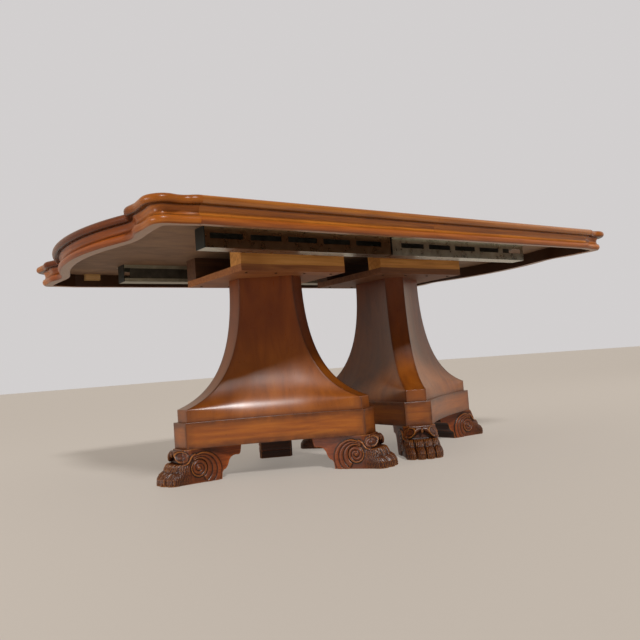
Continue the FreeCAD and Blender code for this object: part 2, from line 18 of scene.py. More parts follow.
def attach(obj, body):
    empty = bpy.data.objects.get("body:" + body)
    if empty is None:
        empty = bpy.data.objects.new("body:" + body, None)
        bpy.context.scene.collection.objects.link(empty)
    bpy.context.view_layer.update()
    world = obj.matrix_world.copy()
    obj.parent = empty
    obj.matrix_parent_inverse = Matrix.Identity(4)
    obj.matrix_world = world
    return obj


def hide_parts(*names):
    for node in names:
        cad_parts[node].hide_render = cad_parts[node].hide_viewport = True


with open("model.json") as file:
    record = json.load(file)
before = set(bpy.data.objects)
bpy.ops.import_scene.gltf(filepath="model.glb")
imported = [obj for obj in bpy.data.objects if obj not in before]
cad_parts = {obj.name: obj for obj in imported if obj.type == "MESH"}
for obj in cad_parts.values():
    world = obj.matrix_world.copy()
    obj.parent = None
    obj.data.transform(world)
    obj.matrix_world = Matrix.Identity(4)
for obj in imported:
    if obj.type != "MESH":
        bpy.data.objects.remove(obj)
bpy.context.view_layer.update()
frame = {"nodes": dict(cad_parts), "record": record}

MM = 0.001

# %% [markdown]
# ## Colours and nodes
# A colour is written as it looks on a screen, in sRGB hex. Blender's shaders work in linear
# light, so one function converts it. A second small function adds any shader node with its
# settings and its links: a link is simply another node's output given as an input. A third
# starts a material with nothing in it.

# %% Three helpers
def colour(code):
    """Linear RGBA from a hex code such as #B2703A."""
    parts = [int(code[i:i + 2], 16) / 255 for i in (1, 3, 5)]
    linear = [c / 12.92 if c <= 0.04045 else ((c + 0.055) / 1.055) ** 2.4 for c in parts]
    return (*linear, 1.0)


def node(tree, kind, inputs=(), **settings):
    """Adds a node; an input that is a socket is linked, any other is set."""
    made = tree.nodes.new(kind)
    for key, value in settings.items():
        setattr(made, key, value)
    for key, value in dict(inputs).items():
        if isinstance(value, bpy.types.NodeSocket):
            tree.links.new(value, made.inputs[key])
        else:
            made.inputs[key].default_value = value
    return made


def new_material(name):
    """A new material and its empty node tree."""
    material = bpy.data.materials.new(name)
    material.use_nodes = True
    material.node_tree.nodes.clear()
    return material, material.node_tree


print("helpers ready")

# %% [markdown]
# ## Wood grain
# The table is veneered and solid cabinet wood, stained honey to red-brown. Three things show:
# the long soft figure of the grain, short darker pores along it, and broad cloudy patches where
# the stain took unevenly. Each is a noise, squeezed across the grain and stretched along it.
# Real pores are about 0.3 mm wide, too fine for a picture of a whole table, so here they are
# drawn about 2 mm wide. A Mix node has sockets for every kind of value, so the numbers of its
# colour sockets get names.

# %% Grain of one board
MIX_A, MIX_B, MIX_OUT = 6, 7, 2
PORE_MM = (2.0, 45.0)
CLOUD_MM = 150.0
DARK_STOP, MIDDLE_STOP, PALE_STOP = 0.28, 0.5, 0.74
PORE_SHARE, CLOUD_SHARE = 0.4, 0.45


def stretch(along, across_mm, along_mm):
    """Pattern scale per metre on X, Y and Z for a grain that runs along the named axes."""
    return [1 / (MM * (along_mm if axis in along else across_mm)) for axis in "xyz"]


def wood_tones(tree, coords, tones, along, figure_mm):
    """Colour and pore height of one board."""
    dark, middle, pale = (colour(code) for code in tones)
    fibres = node(tree, "ShaderNodeMapping", {"Vector": coords, "Scale": stretch(along, *figure_mm)})
    figure = node(tree, "ShaderNodeTexNoise", {
        "Vector": fibres.outputs["Vector"], "Scale": 1.0, "Detail": 5.0, "Roughness": 0.55,
        "Distortion": 0.6})
    ramp = node(tree, "ShaderNodeValToRGB", {"Fac": figure.outputs["Fac"]})
    stops = ramp.color_ramp.elements
    stops[0].position, stops[0].color = DARK_STOP, dark
    stops[1].position, stops[1].color = PALE_STOP, pale
    stops.new(MIDDLE_STOP).color = middle
    lines = node(tree, "ShaderNodeMapping", {"Vector": coords, "Scale": stretch(along, *PORE_MM)})
    pores = node(tree, "ShaderNodeTexNoise", {
        "Vector": lines.outputs["Vector"], "Scale": 1.0, "Detail": 3.0, "Roughness": 0.7})
    dots = node(tree, "ShaderNodeMapRange", {
        "Value": pores.outputs["Fac"], "From Min": 0.56, "From Max": 0.72,
        "To Min": 0.0, "To Max": PORE_SHARE})
    shaded = node(tree, "ShaderNodeMix", {
        0: dots.outputs[0], MIX_A: ramp.outputs["Color"], MIX_B: dark}, data_type="RGBA")
    clouds = node(tree, "ShaderNodeTexNoise", {
        "Vector": coords, "Scale": 1 / (CLOUD_MM * MM), "Detail": 2.0})
    patch = node(tree, "ShaderNodeMapRange", {
        "Value": clouds.outputs["Fac"], "From Min": 0.45, "From Max": 0.7,
        "To Min": 0.0, "To Max": CLOUD_SHARE})
    cloudy = node(tree, "ShaderNodeMix", {
        0: patch.outputs[0], MIX_A: shaded.outputs[MIX_OUT], MIX_B: dark}, data_type="RGBA")
    return cloudy.outputs[MIX_OUT], pores.outputs["Fac"]


print("pores", PORE_MM, "mm, clouds", CLOUD_MM, "mm")

# %% [markdown]
# ## What the finisher added, and painted shade
# Over the stain come the finisher's own touches and some painted shade, each a short function that takes
# the colour so far and gives the new one. Small dark specks were flicked on, as is done to make a new
# piece look old. Under the nosing runs a dark level line of painted shade, so a height is enough to find
# it. Dark glaze was smeared along the edges of the columns and plinths, and the same smear puts painted
# shade into the creases of the aprons.

# %% Specks, painted shade and glaze
DARK_SPECK_AND_SHADE = "#2E1708"
SPECK_APART_MM = 30.0
SPECK_CORE, SPECK_RIM, SPECK_SHARE = 0.03, 0.07, 0.6
HOLLOW_WIDTH_MM, HOLLOW_SHADE_SHARE = 2.2, 0.85
SMEAR_MM = 28.0


def flecked(tree, coords, base):
    """Dark specks, one in each cell of a Voronoi pattern."""
    spots = node(tree, "ShaderNodeTexVoronoi", {"Vector": coords, "Scale": 1 / (SPECK_APART_MM * MM)})
    speck = node(tree, "ShaderNodeMapRange", {
        "Value": spots.outputs["Distance"], "From Min": SPECK_CORE, "From Max": SPECK_RIM,
        "To Min": SPECK_SHARE, "To Max": 0.0})
    return node(tree, "ShaderNodeMix", {
        0: speck.outputs[0], MIX_A: base, MIX_B: colour(DARK_SPECK_AND_SHADE)}, data_type="RGBA").outputs[MIX_OUT]


def painted_shade_line(tree, coords, base, height_mm):
    """A narrow level line of painted shade at one height."""
    height = node(tree, "ShaderNodeSeparateXYZ", {"Vector": coords}).outputs["Z"]
    away = node(tree, "ShaderNodeMath", {0: height, 1: height_mm * MM}, operation="SUBTRACT")
    off = node(tree, "ShaderNodeMath", {0: away.outputs[0]}, operation="ABSOLUTE")
    share = node(tree, "ShaderNodeMapRange", {
        "Value": off.outputs[0], "From Min": 0.0, "From Max": HOLLOW_WIDTH_MM * MM,
        "To Min": HOLLOW_SHADE_SHARE, "To Max": 0.0})
    return node(tree, "ShaderNodeMix", {
        0: share.outputs[0], MIX_A: base, MIX_B: colour(DARK_SPECK_AND_SHADE)}, data_type="RGBA").outputs[MIX_OUT]


def smeared_glaze_and_shade(tree, coords, base, glaze):
    """Dark marks read from the stored arris values, more in some places than in others: glaze along the
    edges of columns and plinths, painted shade in the creases and on the inner face of the aprons.
    """
    edge = node(tree, "ShaderNodeAttribute", attribute_name="arris").outputs["Fac"]
    smear = node(tree, "ShaderNodeTexNoise", {
        "Vector": coords, "Scale": 1 / (SMEAR_MM * MM), "Detail": 3.0}).outputs["Fac"]
    uneven = node(tree, "ShaderNodeMapRange", {
        "Value": smear, "From Min": 0.3, "From Max": 0.7, "To Min": 0.5, "To Max": 1.0})
    share = node(tree, "ShaderNodeMath", {0: edge, 1: uneven.outputs[0]}, operation="MULTIPLY").outputs[0]
    return node(tree, "ShaderNodeMix", {
        0: share, MIX_A: base, MIX_B: colour(glaze)}, data_type="RGBA").outputs[MIX_OUT]


print("specks about", SPECK_APART_MM, "mm apart")

# %% [markdown]
# In places the colour is darkened along an axis: painted shade on the columns, and elsewhere as noted
# where the woods are made. It multiplies the colour under it, as a thin dye does, so the figure still
# shows. The undersides of the aprons were left bare, and a face's normal tells which those are.

# %% Darkening and bare undersides
BARE_SHARE = 0.8


def darkened_along(tree, base, axis, clear_mm, full_mm, darkening):
    """A darkening that grows from none to full between two distances along an axis."""
    place = node(tree, "ShaderNodeTexCoord").outputs["Object"]
    along_axis = node(tree, "ShaderNodeSeparateXYZ", {"Vector": place}).outputs[axis]
    distance = node(tree, "ShaderNodeMath", {0: along_axis}, operation="ABSOLUTE").outputs[0]
    share = node(tree, "ShaderNodeMapRange", {
        "Value": distance, "From Min": clear_mm * MM, "From Max": full_mm * MM})
    return node(tree, "ShaderNodeMix", {
        0: share.outputs[0], MIX_A: base, MIX_B: colour(darkening)},
        data_type="RGBA", blend_type="MULTIPLY").outputs[MIX_OUT]


def bare_below(tree, base, tone):
    """Bare wood on the faces that look straight down."""
    normal = node(tree, "ShaderNodeNewGeometry").outputs["Normal"]
    facing = node(tree, "ShaderNodeSeparateXYZ", {"Vector": normal}).outputs["Z"]
    share = node(tree, "ShaderNodeMapRange", {
        "Value": facing, "From Min": -0.85, "From Max": -0.97, "To Min": 0.0, "To Max": BARE_SHARE})
    return node(tree, "ShaderNodeMix", {
        0: share.outputs[0], MIX_A: base, MIX_B: colour(tone)}, data_type="RGBA").outputs[MIX_OUT]


print("undersides are bare by", BARE_SHARE)

# %% [markdown]
# ## Satin lacquer
# Clear lacquer closes the wood. It gives the eye a soft, clear reflection over the colour, a
# little duller over the pores, whose dents still show through it. Resin has a refractive index of
# about 1.5. Pieces that are rebuilt below store where each point lies on its sheet of veneer, and
# the grain follows that; the solids use their place in the table.

# %% Lacquer
LONG_FIGURE_MM = (9.0, 260.0)
RESIN_IOR = 1.5
CLOSED_PORES, OPEN_PORES = 0.06, 0.1


def lacquered(name, tones, along, figure_mm=LONG_FIGURE_MM, gloss=0.26, sheen=0.5, hollows=(), darkenings=(),
              arris=None, under=None):
    """Stained and lacquered wood, with the grain along the named axes."""
    material, tree = new_material(name)
    if arris:
        coords = node(tree, "ShaderNodeAttribute", attribute_name="veneer").outputs["Vector"]
    else:
        coords = node(tree, "ShaderNodeTexCoord").outputs["Object"]
    tone, pores = wood_tones(tree, coords, tones, along, figure_mm)
    tone = flecked(tree, coords, tone)
    for height_mm in hollows:
        tone = painted_shade_line(tree, coords, tone, height_mm)
    for darkening in darkenings:
        tone = darkened_along(tree, tone, *darkening)
    if arris:
        tone = smeared_glaze_and_shade(tree, coords, tone, arris)
    if under:
        tone = bare_below(tree, tone, under)
    bump = node(tree, "ShaderNodeBump", {"Height": pores, "Strength": 0.12, "Distance": 0.3 * MM})
    satin = node(tree, "ShaderNodeMapRange", {
        "Value": pores, "To Min": gloss - CLOSED_PORES, "To Max": gloss + OPEN_PORES})
    shader = node(tree, "ShaderNodeBsdfPrincipled", {
        "Base Color": tone, "Roughness": satin.outputs[0], "Normal": bump.outputs[0],
        "IOR": RESIN_IOR, "Specular IOR Level": sheen})
    node(tree, "ShaderNodeOutputMaterial", {"Surface": shader.outputs[0]})
    return material


print("lacquer has a refractive index of", RESIN_IOR)

# %% [markdown]
# The columns are red-brown with an upright grain, darker towards the top: painted shade, for the shade
# that the top casts on them. The plinths are honey, with a level grain. The edge of the table is golden
# along its sides and chestnut round the bowed ends, which are darker away from the corners, partly from
# the bow's own darker wood and partly as painted shade. The aprons are painted lighter than their wood, as
# painted light that fills the shade under the nosing; below the lip of the long aprons it is darkened
# back. A darkening is given as its axis, where it starts, where it is full, and its colour.

# %% Lacquered woods
HONEY = ("#72380D", "#8A4910", "#9C5917")
RED_BROWN = ("#70380B", "#84460F", "#925216")
GOLDEN, GOLDEN_WITH_PAINTED_FILL = ("#7E4411", "#9A5A19", "#AE6C25"), ("#955114", "#B66B1E", "#CE802C")
CHESTNUT, CHESTNUT_WITH_PAINTED_FILL = ("#743D10", "#904F16", "#A2601F"), ("#834512", "#A25919", "#B76C23")
BARE_UNDER = "#967355"
APRON_SHADE = "#38200F"
NOSING_LOW = 740.0

# Darker towards the top: painted shade for the top's shadow on the column.
column_lacquer = lacquered(
    "red_brown_lacquered_veneer_upright", RED_BROWN, "y", (42.0, 170.0), gloss=0.28,
    darkenings=[("Z", 300, 480, "#D6BC94")], arris="#562A0F")
plinth_lacquer = lacquered(
    "honey_lacquered_veneer_level", HONEY, "x", (13.0, 170.0), gloss=0.3, arris="#3E1C08")
# The nosings take a line of painted shade along their lower edge.
long_edge_lacquer = lacquered(
    "golden_lacquered_nosing_long", GOLDEN, "x", gloss=0.2, sheen=0.7, hollows=[NOSING_LOW])
# The bowed ends of nosing and apron are darker away from the corners: partly the bow's own darker wood,
# partly painted shade.
end_edge_lacquer = lacquered(
    "chestnut_lacquered_nosing_end", CHESTNUT, "xy", sheen=0.25, hollows=[NOSING_LOW],
    darkenings=[("Y", 480, 400, "#A0835F")])
# Painted light: the apron is painted lighter than its wood, to fill the shade under the nosing; below the
# lip it is darkened back, so the bead keeps its plain golden tone.
long_apron_lacquer = lacquered(
    "golden_lacquered_apron_long", GOLDEN_WITH_PAINTED_FILL, "x", gloss=0.3,
    darkenings=[("Z", 716, 712, "#D6C2AE")], arris=APRON_SHADE, under=BARE_UNDER)
# Painted light: the bowed apron is painted lighter than its wood, to fill the shade under the nosing.
end_apron_lacquer = lacquered(
    "chestnut_lacquered_apron_end", CHESTNUT_WITH_PAINTED_FILL, "x", gloss=0.3, sheen=0.3,
    darkenings=[("Y", 480, 400, "#CBB292")], arris=APRON_SHADE, under=BARE_UNDER)
print("lacquered woods ready")

# %% [markdown]
# ## Bare timber
# The cleats, the boards and the blocks under the top are workshop timber without lacquer. To the eye it is
# dull, with a grain that stands out a little. The pieces differ in their stain, and the rear cleats and
# the right mounting board are darkened further as painted shade, for the shade that they stand in.

# %% Bare timber
TIMBER_FIGURE_MM, TIMBER_ROUGH = (9.0, 190.0), 0.62


def bare(name, *tones):
    """Planed timber without lacquer, with its grain along the table."""
    material, tree = new_material(name)
    coords = node(tree, "ShaderNodeTexCoord").outputs["Object"]
    tone, pores = wood_tones(tree, coords, tones, "x", TIMBER_FIGURE_MM)
    bump = node(tree, "ShaderNodeBump", {"Height": pores, "Strength": 0.3, "Distance": 0.4 * MM})
    shader = node(tree, "ShaderNodeBsdfPrincipled", {
        "Base Color": tone, "Roughness": TIMBER_ROUGH, "Normal": bump.outputs[0], "IOR": RESIN_IOR})
    node(tree, "ShaderNodeOutputMaterial", {"Surface": shader.outputs[0]})
    return material


cleat_timber = bare("rubbed_pale_timber", "#A4682A", "#CA8B42", "#D89C52")
# Painted shade: darker copies of the cleat and board timber, for the rear cleats and the right board.
cleat_timber_painted_shade = bare("cleat_timber_with_painted_shade", "#3E2410", "#543218", "#654022")
board_timber = bare("stained_board_timber", "#743F1A", "#965A2A", "#A86C3A")
board_timber_painted_shade = bare("board_timber_with_painted_shade", "#5C3316", "#744522", "#86542F")
block_timber = bare("bare_block_timber", "#A27B48", "#C49A62", "#D4B07C")
print("bare timber ready")

# %% [markdown]
# ## The top
# The top is lacquered on its upper side only, where it gives a soft reflection. Underneath it is
# bare, dull and greyed by age. One material serves both sides of the panel: the face's own normal
# tells which side it is.

# %% Veneered panel
TOP_FIGURE_MM, UNDER_FIGURE_MM = (8.0, 320.0), (60.0, 110.0)
LACQUERED_ROUGH, BARE_ROUGH = 0.3, 0.7


def panel_finish(name, upper, under):
    """Lacquered veneer above, bare wood below."""
    material, tree = new_material(name)
    place = node(tree, "ShaderNodeTexCoord").outputs["Object"]
    top_tone, pores = wood_tones(tree, place, upper, "x", TOP_FIGURE_MM)
    low_tone = wood_tones(tree, place, under, "x", UNDER_FIGURE_MM)[0]
    normal = node(tree, "ShaderNodeNewGeometry").outputs["Normal"]
    facing = node(tree, "ShaderNodeSeparateXYZ", {"Vector": normal}).outputs["Z"]
    above = node(tree, "ShaderNodeMath", {0: facing, 1: 0.5}, operation="GREATER_THAN").outputs[0]
    tone = node(tree, "ShaderNodeMix", {0: above, MIX_A: low_tone, MIX_B: top_tone}, data_type="RGBA")
    rough = node(tree, "ShaderNodeMapRange", {
        "Value": above, "To Min": BARE_ROUGH, "To Max": LACQUERED_ROUGH})
    bump = node(tree, "ShaderNodeBump", {"Height": pores, "Strength": 0.1, "Distance": 0.3 * MM})
    shader = node(tree, "ShaderNodeBsdfPrincipled", {
        "Base Color": tone.outputs[MIX_OUT], "Roughness": rough.outputs[0],
        "Normal": bump.outputs[0], "IOR": RESIN_IOR})
    node(tree, "ShaderNodeOutputMaterial", {"Surface": shader.outputs[0]})
    return material


panel = panel_finish("lacquered_veneer_panel", ("#70401B", "#9A5E2A", "#B57B42"),
                     ("#6C5038", "#80624A", "#907050"))
print("panel ready")

# %% [markdown]
# ## Zinc-plated slides
# The extension slides are folded from zinc-plated sheet steel. Zinc grows in soft blotches a few
# millimetres to a few centimetres wide, and dust dulls it. A metal keeps its colour in its reflections, so
# the base colour is the pale grey of the plating. On one slide the upright web is painted brown, as
# painted shade and a painted reflection of the wood round it, and the level lip stays bright; the far pair
# went chalky, and the inner members are dark grey. On the chalky pair and the dark grey members the
# metallic value comes down.

# %% Zinc-plated steel
BLOTCH_MM, PAINTED_SHADE_SHARE = 30.0, 0.88
PLATED = ("#A8A493", "#C9C6B6")


def zinc(name, tones, rough, painted_shade=None, metal=1.0):
    """Zinc-plated steel, with painted shade on its upright faces if a colour for it is given."""
    material, tree = new_material(name)
    coords = node(tree, "ShaderNodeTexCoord").outputs["Object"]
    blotch = node(tree, "ShaderNodeTexNoise", {
        "Vector": coords, "Scale": 1 / (BLOTCH_MM * MM), "Detail": 4.0, "Roughness": 0.6})
    ramp = node(tree, "ShaderNodeValToRGB", {"Fac": blotch.outputs["Fac"]})
    for stop, position, tone in zip(ramp.color_ramp.elements, (0.3, 0.7), tones):
        stop.position, stop.color = position, colour(tone)
    dull = node(tree, "ShaderNodeMapRange", {
        "Value": blotch.outputs["Fac"], "To Min": rough - 0.1, "To Max": rough + 0.15})
    plated = ramp.outputs["Color"]
    if painted_shade:
        normal = node(tree, "ShaderNodeNewGeometry").outputs["Normal"]
        level = node(tree, "ShaderNodeSeparateXYZ", {"Vector": normal}).outputs["Z"]
        flat = node(tree, "ShaderNodeMath", {0: level}, operation="ABSOLUTE").outputs[0]
        upright_share = node(tree, "ShaderNodeMapRange", {
            "Value": flat, "From Min": 0.3, "From Max": 0.7, "To Min": PAINTED_SHADE_SHARE, "To Max": 0.0})
        plated = node(tree, "ShaderNodeMix", {
            0: upright_share.outputs[0], MIX_A: plated, MIX_B: colour(painted_shade)}, data_type="RGBA").outputs[MIX_OUT]
    shader = node(tree, "ShaderNodeBsdfPrincipled", {
        "Base Color": plated, "Roughness": dull.outputs[0], "Metallic": metal})
    node(tree, "ShaderNodeOutputMaterial", {"Surface": shader.outputs[0]})
    return material


slide_zinc = zinc("zinc_plated_sheet_steel", PLATED, 0.27)
# Painted shade and painted reflection: the upright web of one slide is painted brown.
zinc_with_painted_shade = zinc("zinc_plated_steel_with_painted_shade", PLATED, 0.27, painted_shade="#75512E")
chalky_zinc = zinc("zinc_plated_steel_gone_chalky", ("#8C8874", "#A5A18C"), 0.45, metal=0.4)
dark_grey_zinc = zinc("dark_grey_sheet_steel", ("#34322A", "#4E4B40"), 0.45, metal=0.4)
screw_zinc = zinc("zinc_plated_screw_steel", ("#85806F", "#B2AD9D"), 0.38)
browned_steel = zinc("browned_screw_steel", ("#3A2A1C", "#57422E"), 0.45)
print("blotches of zinc", BLOTCH_MM, "mm wide")

# %% [markdown]
# The stops are moulded nylon. The mould's fine grit breaks up the sheen of the black; it is drawn
# coarser than it is, so that it shows.

# %% Black nylon stops
GRIT_MM = 1.2


def moulded_black(name):
    """Black nylon with the fine grit of its mould."""
    material, tree = new_material(name)
    coords = node(tree, "ShaderNodeTexCoord").outputs["Object"]
    grit = node(tree, "ShaderNodeTexNoise", {
        "Vector": coords, "Scale": 1 / (GRIT_MM * MM), "Detail": 2.0})
    bump = node(tree, "ShaderNodeBump", {
        "Height": grit.outputs["Fac"], "Strength": 0.2, "Distance": 0.2 * MM})
    shader = node(tree, "ShaderNodeBsdfPrincipled", {
        "Base Color": colour("#1E211C"), "Roughness": 0.5, "Normal": bump.outputs[0], "IOR": RESIN_IOR})
    node(tree, "ShaderNodeOutputMaterial", {"Surface": shader.outputs[0]})
    return material


stop_black = moulded_black("moulded_black_nylon")
print("grit", GRIT_MM, "mm")

# %% [markdown]
# ## Finishes on the solids
# Most solids already have the right shape, so they only take a material. The record names a
# finish for every node; a table turns that name into one of the materials above. Some pieces
# have a finish of their own, found by the end of their name; a later row wins.

# %% Dress the solids
FINISHES = {
    "top_veneer": panel, "edge_moulding": long_edge_lacquer, "pedestal_veneer": column_lacquer,
    "carved_feet": column_lacquer, "frame_wood": cleat_timber, "block_wood": block_timber,
    "pin_wood": block_timber, "slide_steel": slide_zinc, "fastener_steel": screw_zinc,
    "slide_stop": stop_black,
}
OWN_FINISHES = [
    ("end_nosing", end_edge_lacquer), ("end_apron", end_edge_lacquer),
    # The right mounting board and the rear cleats take the timber darkened as painted shade.
    ("mounting_board", board_timber), ("right_mounting_board", board_timber_painted_shade),
    ("rear_cleat", cleat_timber_painted_shade), ("board_screws", browned_steel),
    ("rear_slide_channel", chalky_zinc), ("left_front_slide_channel", zinc_with_painted_shade),
    ("centre_slide", dark_grey_zinc),
]


def dress(obj, material):
    """Gives an object one material."""
    obj.data.materials.clear()
    obj.data.materials.append(material)


for subpart in frame["record"]["subparts"]:
    dress(frame["nodes"][subpart["node"]], FINISHES[subpart["material_slot"]])
for name, obj in frame["nodes"].items():
    for ending, material in OWN_FINISHES:
        if name.endswith(ending):
            dress(obj, material)
print("dressed", len(frame["nodes"]), "solids")

# %% [markdown]
# ## Columns and plinths
# Each column is a three-sided trumpet: three flat corners of one width, joined by hollow
# sides, sweeping out to a low band that sits on the plinth. A plain solid has knife-sharp
# corners; on the real one they are eased by sanding. So the shape is built again as rings of
# points, with a tiny curve at each corner, stacked up the flare.

# %% Hollow sides and eased corners
HOLLOW_SHARE = 0.043


def wide_side(start, end, share):
    """Point on the hollow side between two corners, as a shallow parabola."""
    chord = end - start
    inward = Vector((-chord.y, chord.x)) * (HOLLOW_SHARE * 4 * share * (1 - share))
    return start + chord * share + inward


def eased(start, tip, end, share):
    """Point on the small curve that rounds off a corner's tip."""
    return start.lerp(tip, share).lerp(tip.lerp(end, share), share)


print("sides hollow by", HOLLOW_SHARE, "of their width")

# %% [markdown]
# One ring goes round the three corners and sides. Every point also says how much glaze it takes and
# where it lies on its sheet of veneer. The sheets are set a metre apart in the pattern, so that no
# two sides look alike.

# %% One ring
SIDES = 3
EASED = 0.8
EASE_STEPS = (0.0, 0.33, 0.67, 1.0)
NARROW_STEPS = (0.12, 0.5, 0.88)
WIDE_STEPS = [0.012, 0.05] + [i / 24 for i in range(2, 23)] + [0.95, 0.988]
NARROW_GLAZE, GLAZED_SHARE, ROLLED_SHARE = 0.35, 0.02, 0.3
SHEET_APART = 1000.0


def ring(reach, corner):
    """Points round one level: place, glaze, place across the veneer, how far onto a wide side."""
    flats = []
    for k in range(SIDES):
        turn = Matrix.Rotation(math.radians(360 / SIDES * k), 2)
        flats.append([turn @ Vector((reach, side * corner / 2)) for side in (-1, 1)])
    rows = []
    for k in range(SIDES):
        first, second = flats[k]
        previous, following = flats[k - 1][1], flats[(k + 1) % SIDES][0]
        length, wide_length = (second - first).length, (following - second).length
        margin, wide_margin = EASED / length, EASED / wide_length
        before = wide_side(previous, first, 1 - wide_margin)
        after = wide_side(second, following, wide_margin)
        inner_first, inner_second = first.lerp(second, margin), second.lerp(first, margin)
        narrow_at, wide_at = 4 * k * SHEET_APART, (4 * k + 2) * SHEET_APART
        for s in EASE_STEPS:
            rows.append((eased(before, first, inner_first, s), 1.0, narrow_at - length / 2, 0.0))
        for s in NARROW_STEPS:
            glaze = 0.0 if s == 0.5 else NARROW_GLAZE
            rows.append((inner_first.lerp(inner_second, s), glaze, narrow_at + (s - 0.5) * length, 0.0))
        for s in EASE_STEPS:
            rows.append((eased(inner_second, second, after, s), 1.0, narrow_at + length / 2, 0.0))
        for s in WIDE_STEPS:
            point = wide_side(second, following, wide_margin + s * (1 - 2 * wide_margin))
            from_corner = min(s, 1 - s)
            glaze = max(0.0, 1 - from_corner / GLAZED_SHARE)
            across = wide_at + (s - 0.5) * wide_length
            rows.append((point, glaze, across, min(1.0, from_corner / ROLLED_SHARE)))
    return rows


print(SIDES * (2 * len(EASE_STEPS) + len(NARROW_STEPS) + len(WIDE_STEPS)), "points in a ring")

# %% [markdown]
# At the corners the flare meets the band in a crisp edge, but on the hollow sides it was sanded into
# a soft roll. There each line of points up the column is averaged along its way, over a length that
# grows away from the corners.

# %% Soft roll
def rolled_over(rows, runs, shares, roll_mm):
    """Averages each line of points on the wide sides along its way; its ends stay in place."""
    fine = np.linspace(0, runs[-1], int(runs[-1]) + 1)
    for i, share in enumerate(shares):
        if share > 0:
            reach = int(3 * roll_mm * share) + 1
            weights = np.exp(-0.5 * (np.arange(-reach, reach + 1) / (roll_mm * share)) ** 2)
            for n in range(3):
                line = np.interp(fine, runs, rows[:, i, n])
                longer = np.pad(line, reach, mode="reflect", reflect_type="odd")
                even = np.convolve(longer, weights / weights.sum(), "valid")
                rows[:, i, n] = np.interp(runs, fine, even)
    return rows


print("soft roll ready")

# %% [markdown]
# Rings become a mesh when each is joined to the next. The mesh stores the glaze and the place on the
# veneer with every point, under the names that the lacquer reads. Below a given height the grain
# of the flat corners lies level.

# %% Mesh from rings
CREASE_GLAZE = 0.5
CRISP_DEGREES = 40


def veneered_mesh(name, verts, faces, marks, veneer):
    """A mesh that stores each point's share of glaze (on the aprons, of painted shade) and its place on
    the veneer.
    """
    mesh = bpy.data.meshes.new(name)
    mesh.from_pydata(verts, [], faces)
    mesh.attributes.new("arris", "FLOAT", "POINT").data.foreach_set("value", marks)
    mesh.attributes.new("veneer", "FLOAT_VECTOR", "POINT").data.foreach_set("vector", veneer)
    return mesh


def ringed_mesh(name, levels, corner, turned_below=0.0, roll_mm=0.0):
    """Closed mesh through rings at (reach, height, glaze) levels, in millimetres."""
    verts, marks, veneer, runs = [], [], [], []
    run, before = 0.0, levels[0][:2]
    for reach, height, glaze in levels:
        run += math.dist(before, (reach, height))
        before = (reach, height)
        runs.append(run)
        rows = ring(reach, corner)
        for point, near, across, share in rows:
            verts.append((point.x * MM, point.y * MM, height * MM))
            rubbed_off = roll_mm and share and glaze < CREASE_GLAZE
            marks.append(max(near, 0.0 if rubbed_off else glaze))
            level_grain = height < turned_below and not share
            veneer += [run * MM, across * MM, 0.0] if level_grain else [across * MM, run * MM, 0.0]
    count = len(rows)
    if roll_mm:
        grid = np.array(verts).reshape(len(levels), count, 3)
        shares = [row[3] for row in rows]
        verts = rolled_over(grid, np.array(runs), shares, roll_mm).reshape(-1, 3).tolist()
    faces = []
    for base in range(0, len(verts) - count, count):
        for i in range(count):
            j = (i + 1) % count
            faces.append((base + i, base + j, base + count + j, base + count + i))
    faces.append(tuple(range(count - 1, -1, -1)))
    faces.append(tuple(range(len(verts) - count, len(verts))))
    mesh = veneered_mesh(name, verts, faces, marks, veneer)
    mesh.shade_smooth()
    mesh.set_sharp_from_angle(angle=math.radians(CRISP_DEGREES))
    return mesh


print("edges sharper than", CRISP_DEGREES, "degrees stay crisp")

# %% [markdown]
# The flare is the same curve as on the solid: a cubic with one handle hanging straight down
# from the top and one leaning in from the band; their lengths are shares of the flare's rise and
# spread. The levels of an upright face are given from its two edges: how far back, how far from
# the edge, and how much glaze.

# %% Column and plinth meshes
PLINTH_LOW, PLINTH_TOP, BAND_TOP, COLUMN_TOP = 105.0, 186.0, 226.0, 644.0
PLINTH_REACH, BASE_REACH, TOP_REACH = 350.0, 339.0, 123.0
PLINTH_CORNER, COLUMN_CORNER = 92.0, 70.0
ROLL_MM = 42.0
FLARE_STEPS, FLARE_START, FLARE_GLAZE = 80, 0.15, 0.3
LEAN_IN, LEAN_RISE, HANG = 0.60, 0.10, 0.64
FLARE_RISE, FLARE_SPREAD = COLUMN_TOP - BAND_TOP, BASE_REACH - TOP_REACH
FLARE = ((BASE_REACH, BAND_TOP),
         (BASE_REACH - LEAN_IN * FLARE_SPREAD, BAND_TOP + LEAN_RISE * FLARE_RISE),
         (TOP_REACH, COLUMN_TOP - HANG * FLARE_RISE), (TOP_REACH, COLUMN_TOP))
BAND_FOOT = ((0.7, 0.0, 1.0), (0.0, 0.7, 1.0), (0.0, 6.0, 0.6), (0.0, 15.0, 0.0))
BAND_HEAD = ((0.0, 20.0, 0.0), (0.0, 15.0, 0.0), (0.0, 10.0, 0.0), (0.0, 5.0, 0.0), (0.0, 0.7, 0.4),
             (0.2, 0.2, 0.4))
PLINTH_EDGE = ((0.8, 0.0, 1.0), (0.25, 0.25, 1.0), (0.0, 0.8, 1.0), (0.0, 9.0, 0.65), (0.0, 26.0, 0.0))


def on_flare(share):
    """Reach and height on the flare's cubic."""
    rest = 1 - share
    weights = (rest ** 3, 3 * rest ** 2 * share, 3 * rest * share ** 2, share ** 3)
    return tuple(sum(w * p[i] for w, p in zip(weights, FLARE)) for i in (0, 1))


def upright(reach, low, high, foot, head):
    """Levels of an upright face between its two edges."""
    rising = [(reach - back, low + away, glaze) for back, away, glaze in foot]
    return rising + [(reach - back, high - away, glaze) for back, away, glaze in head]


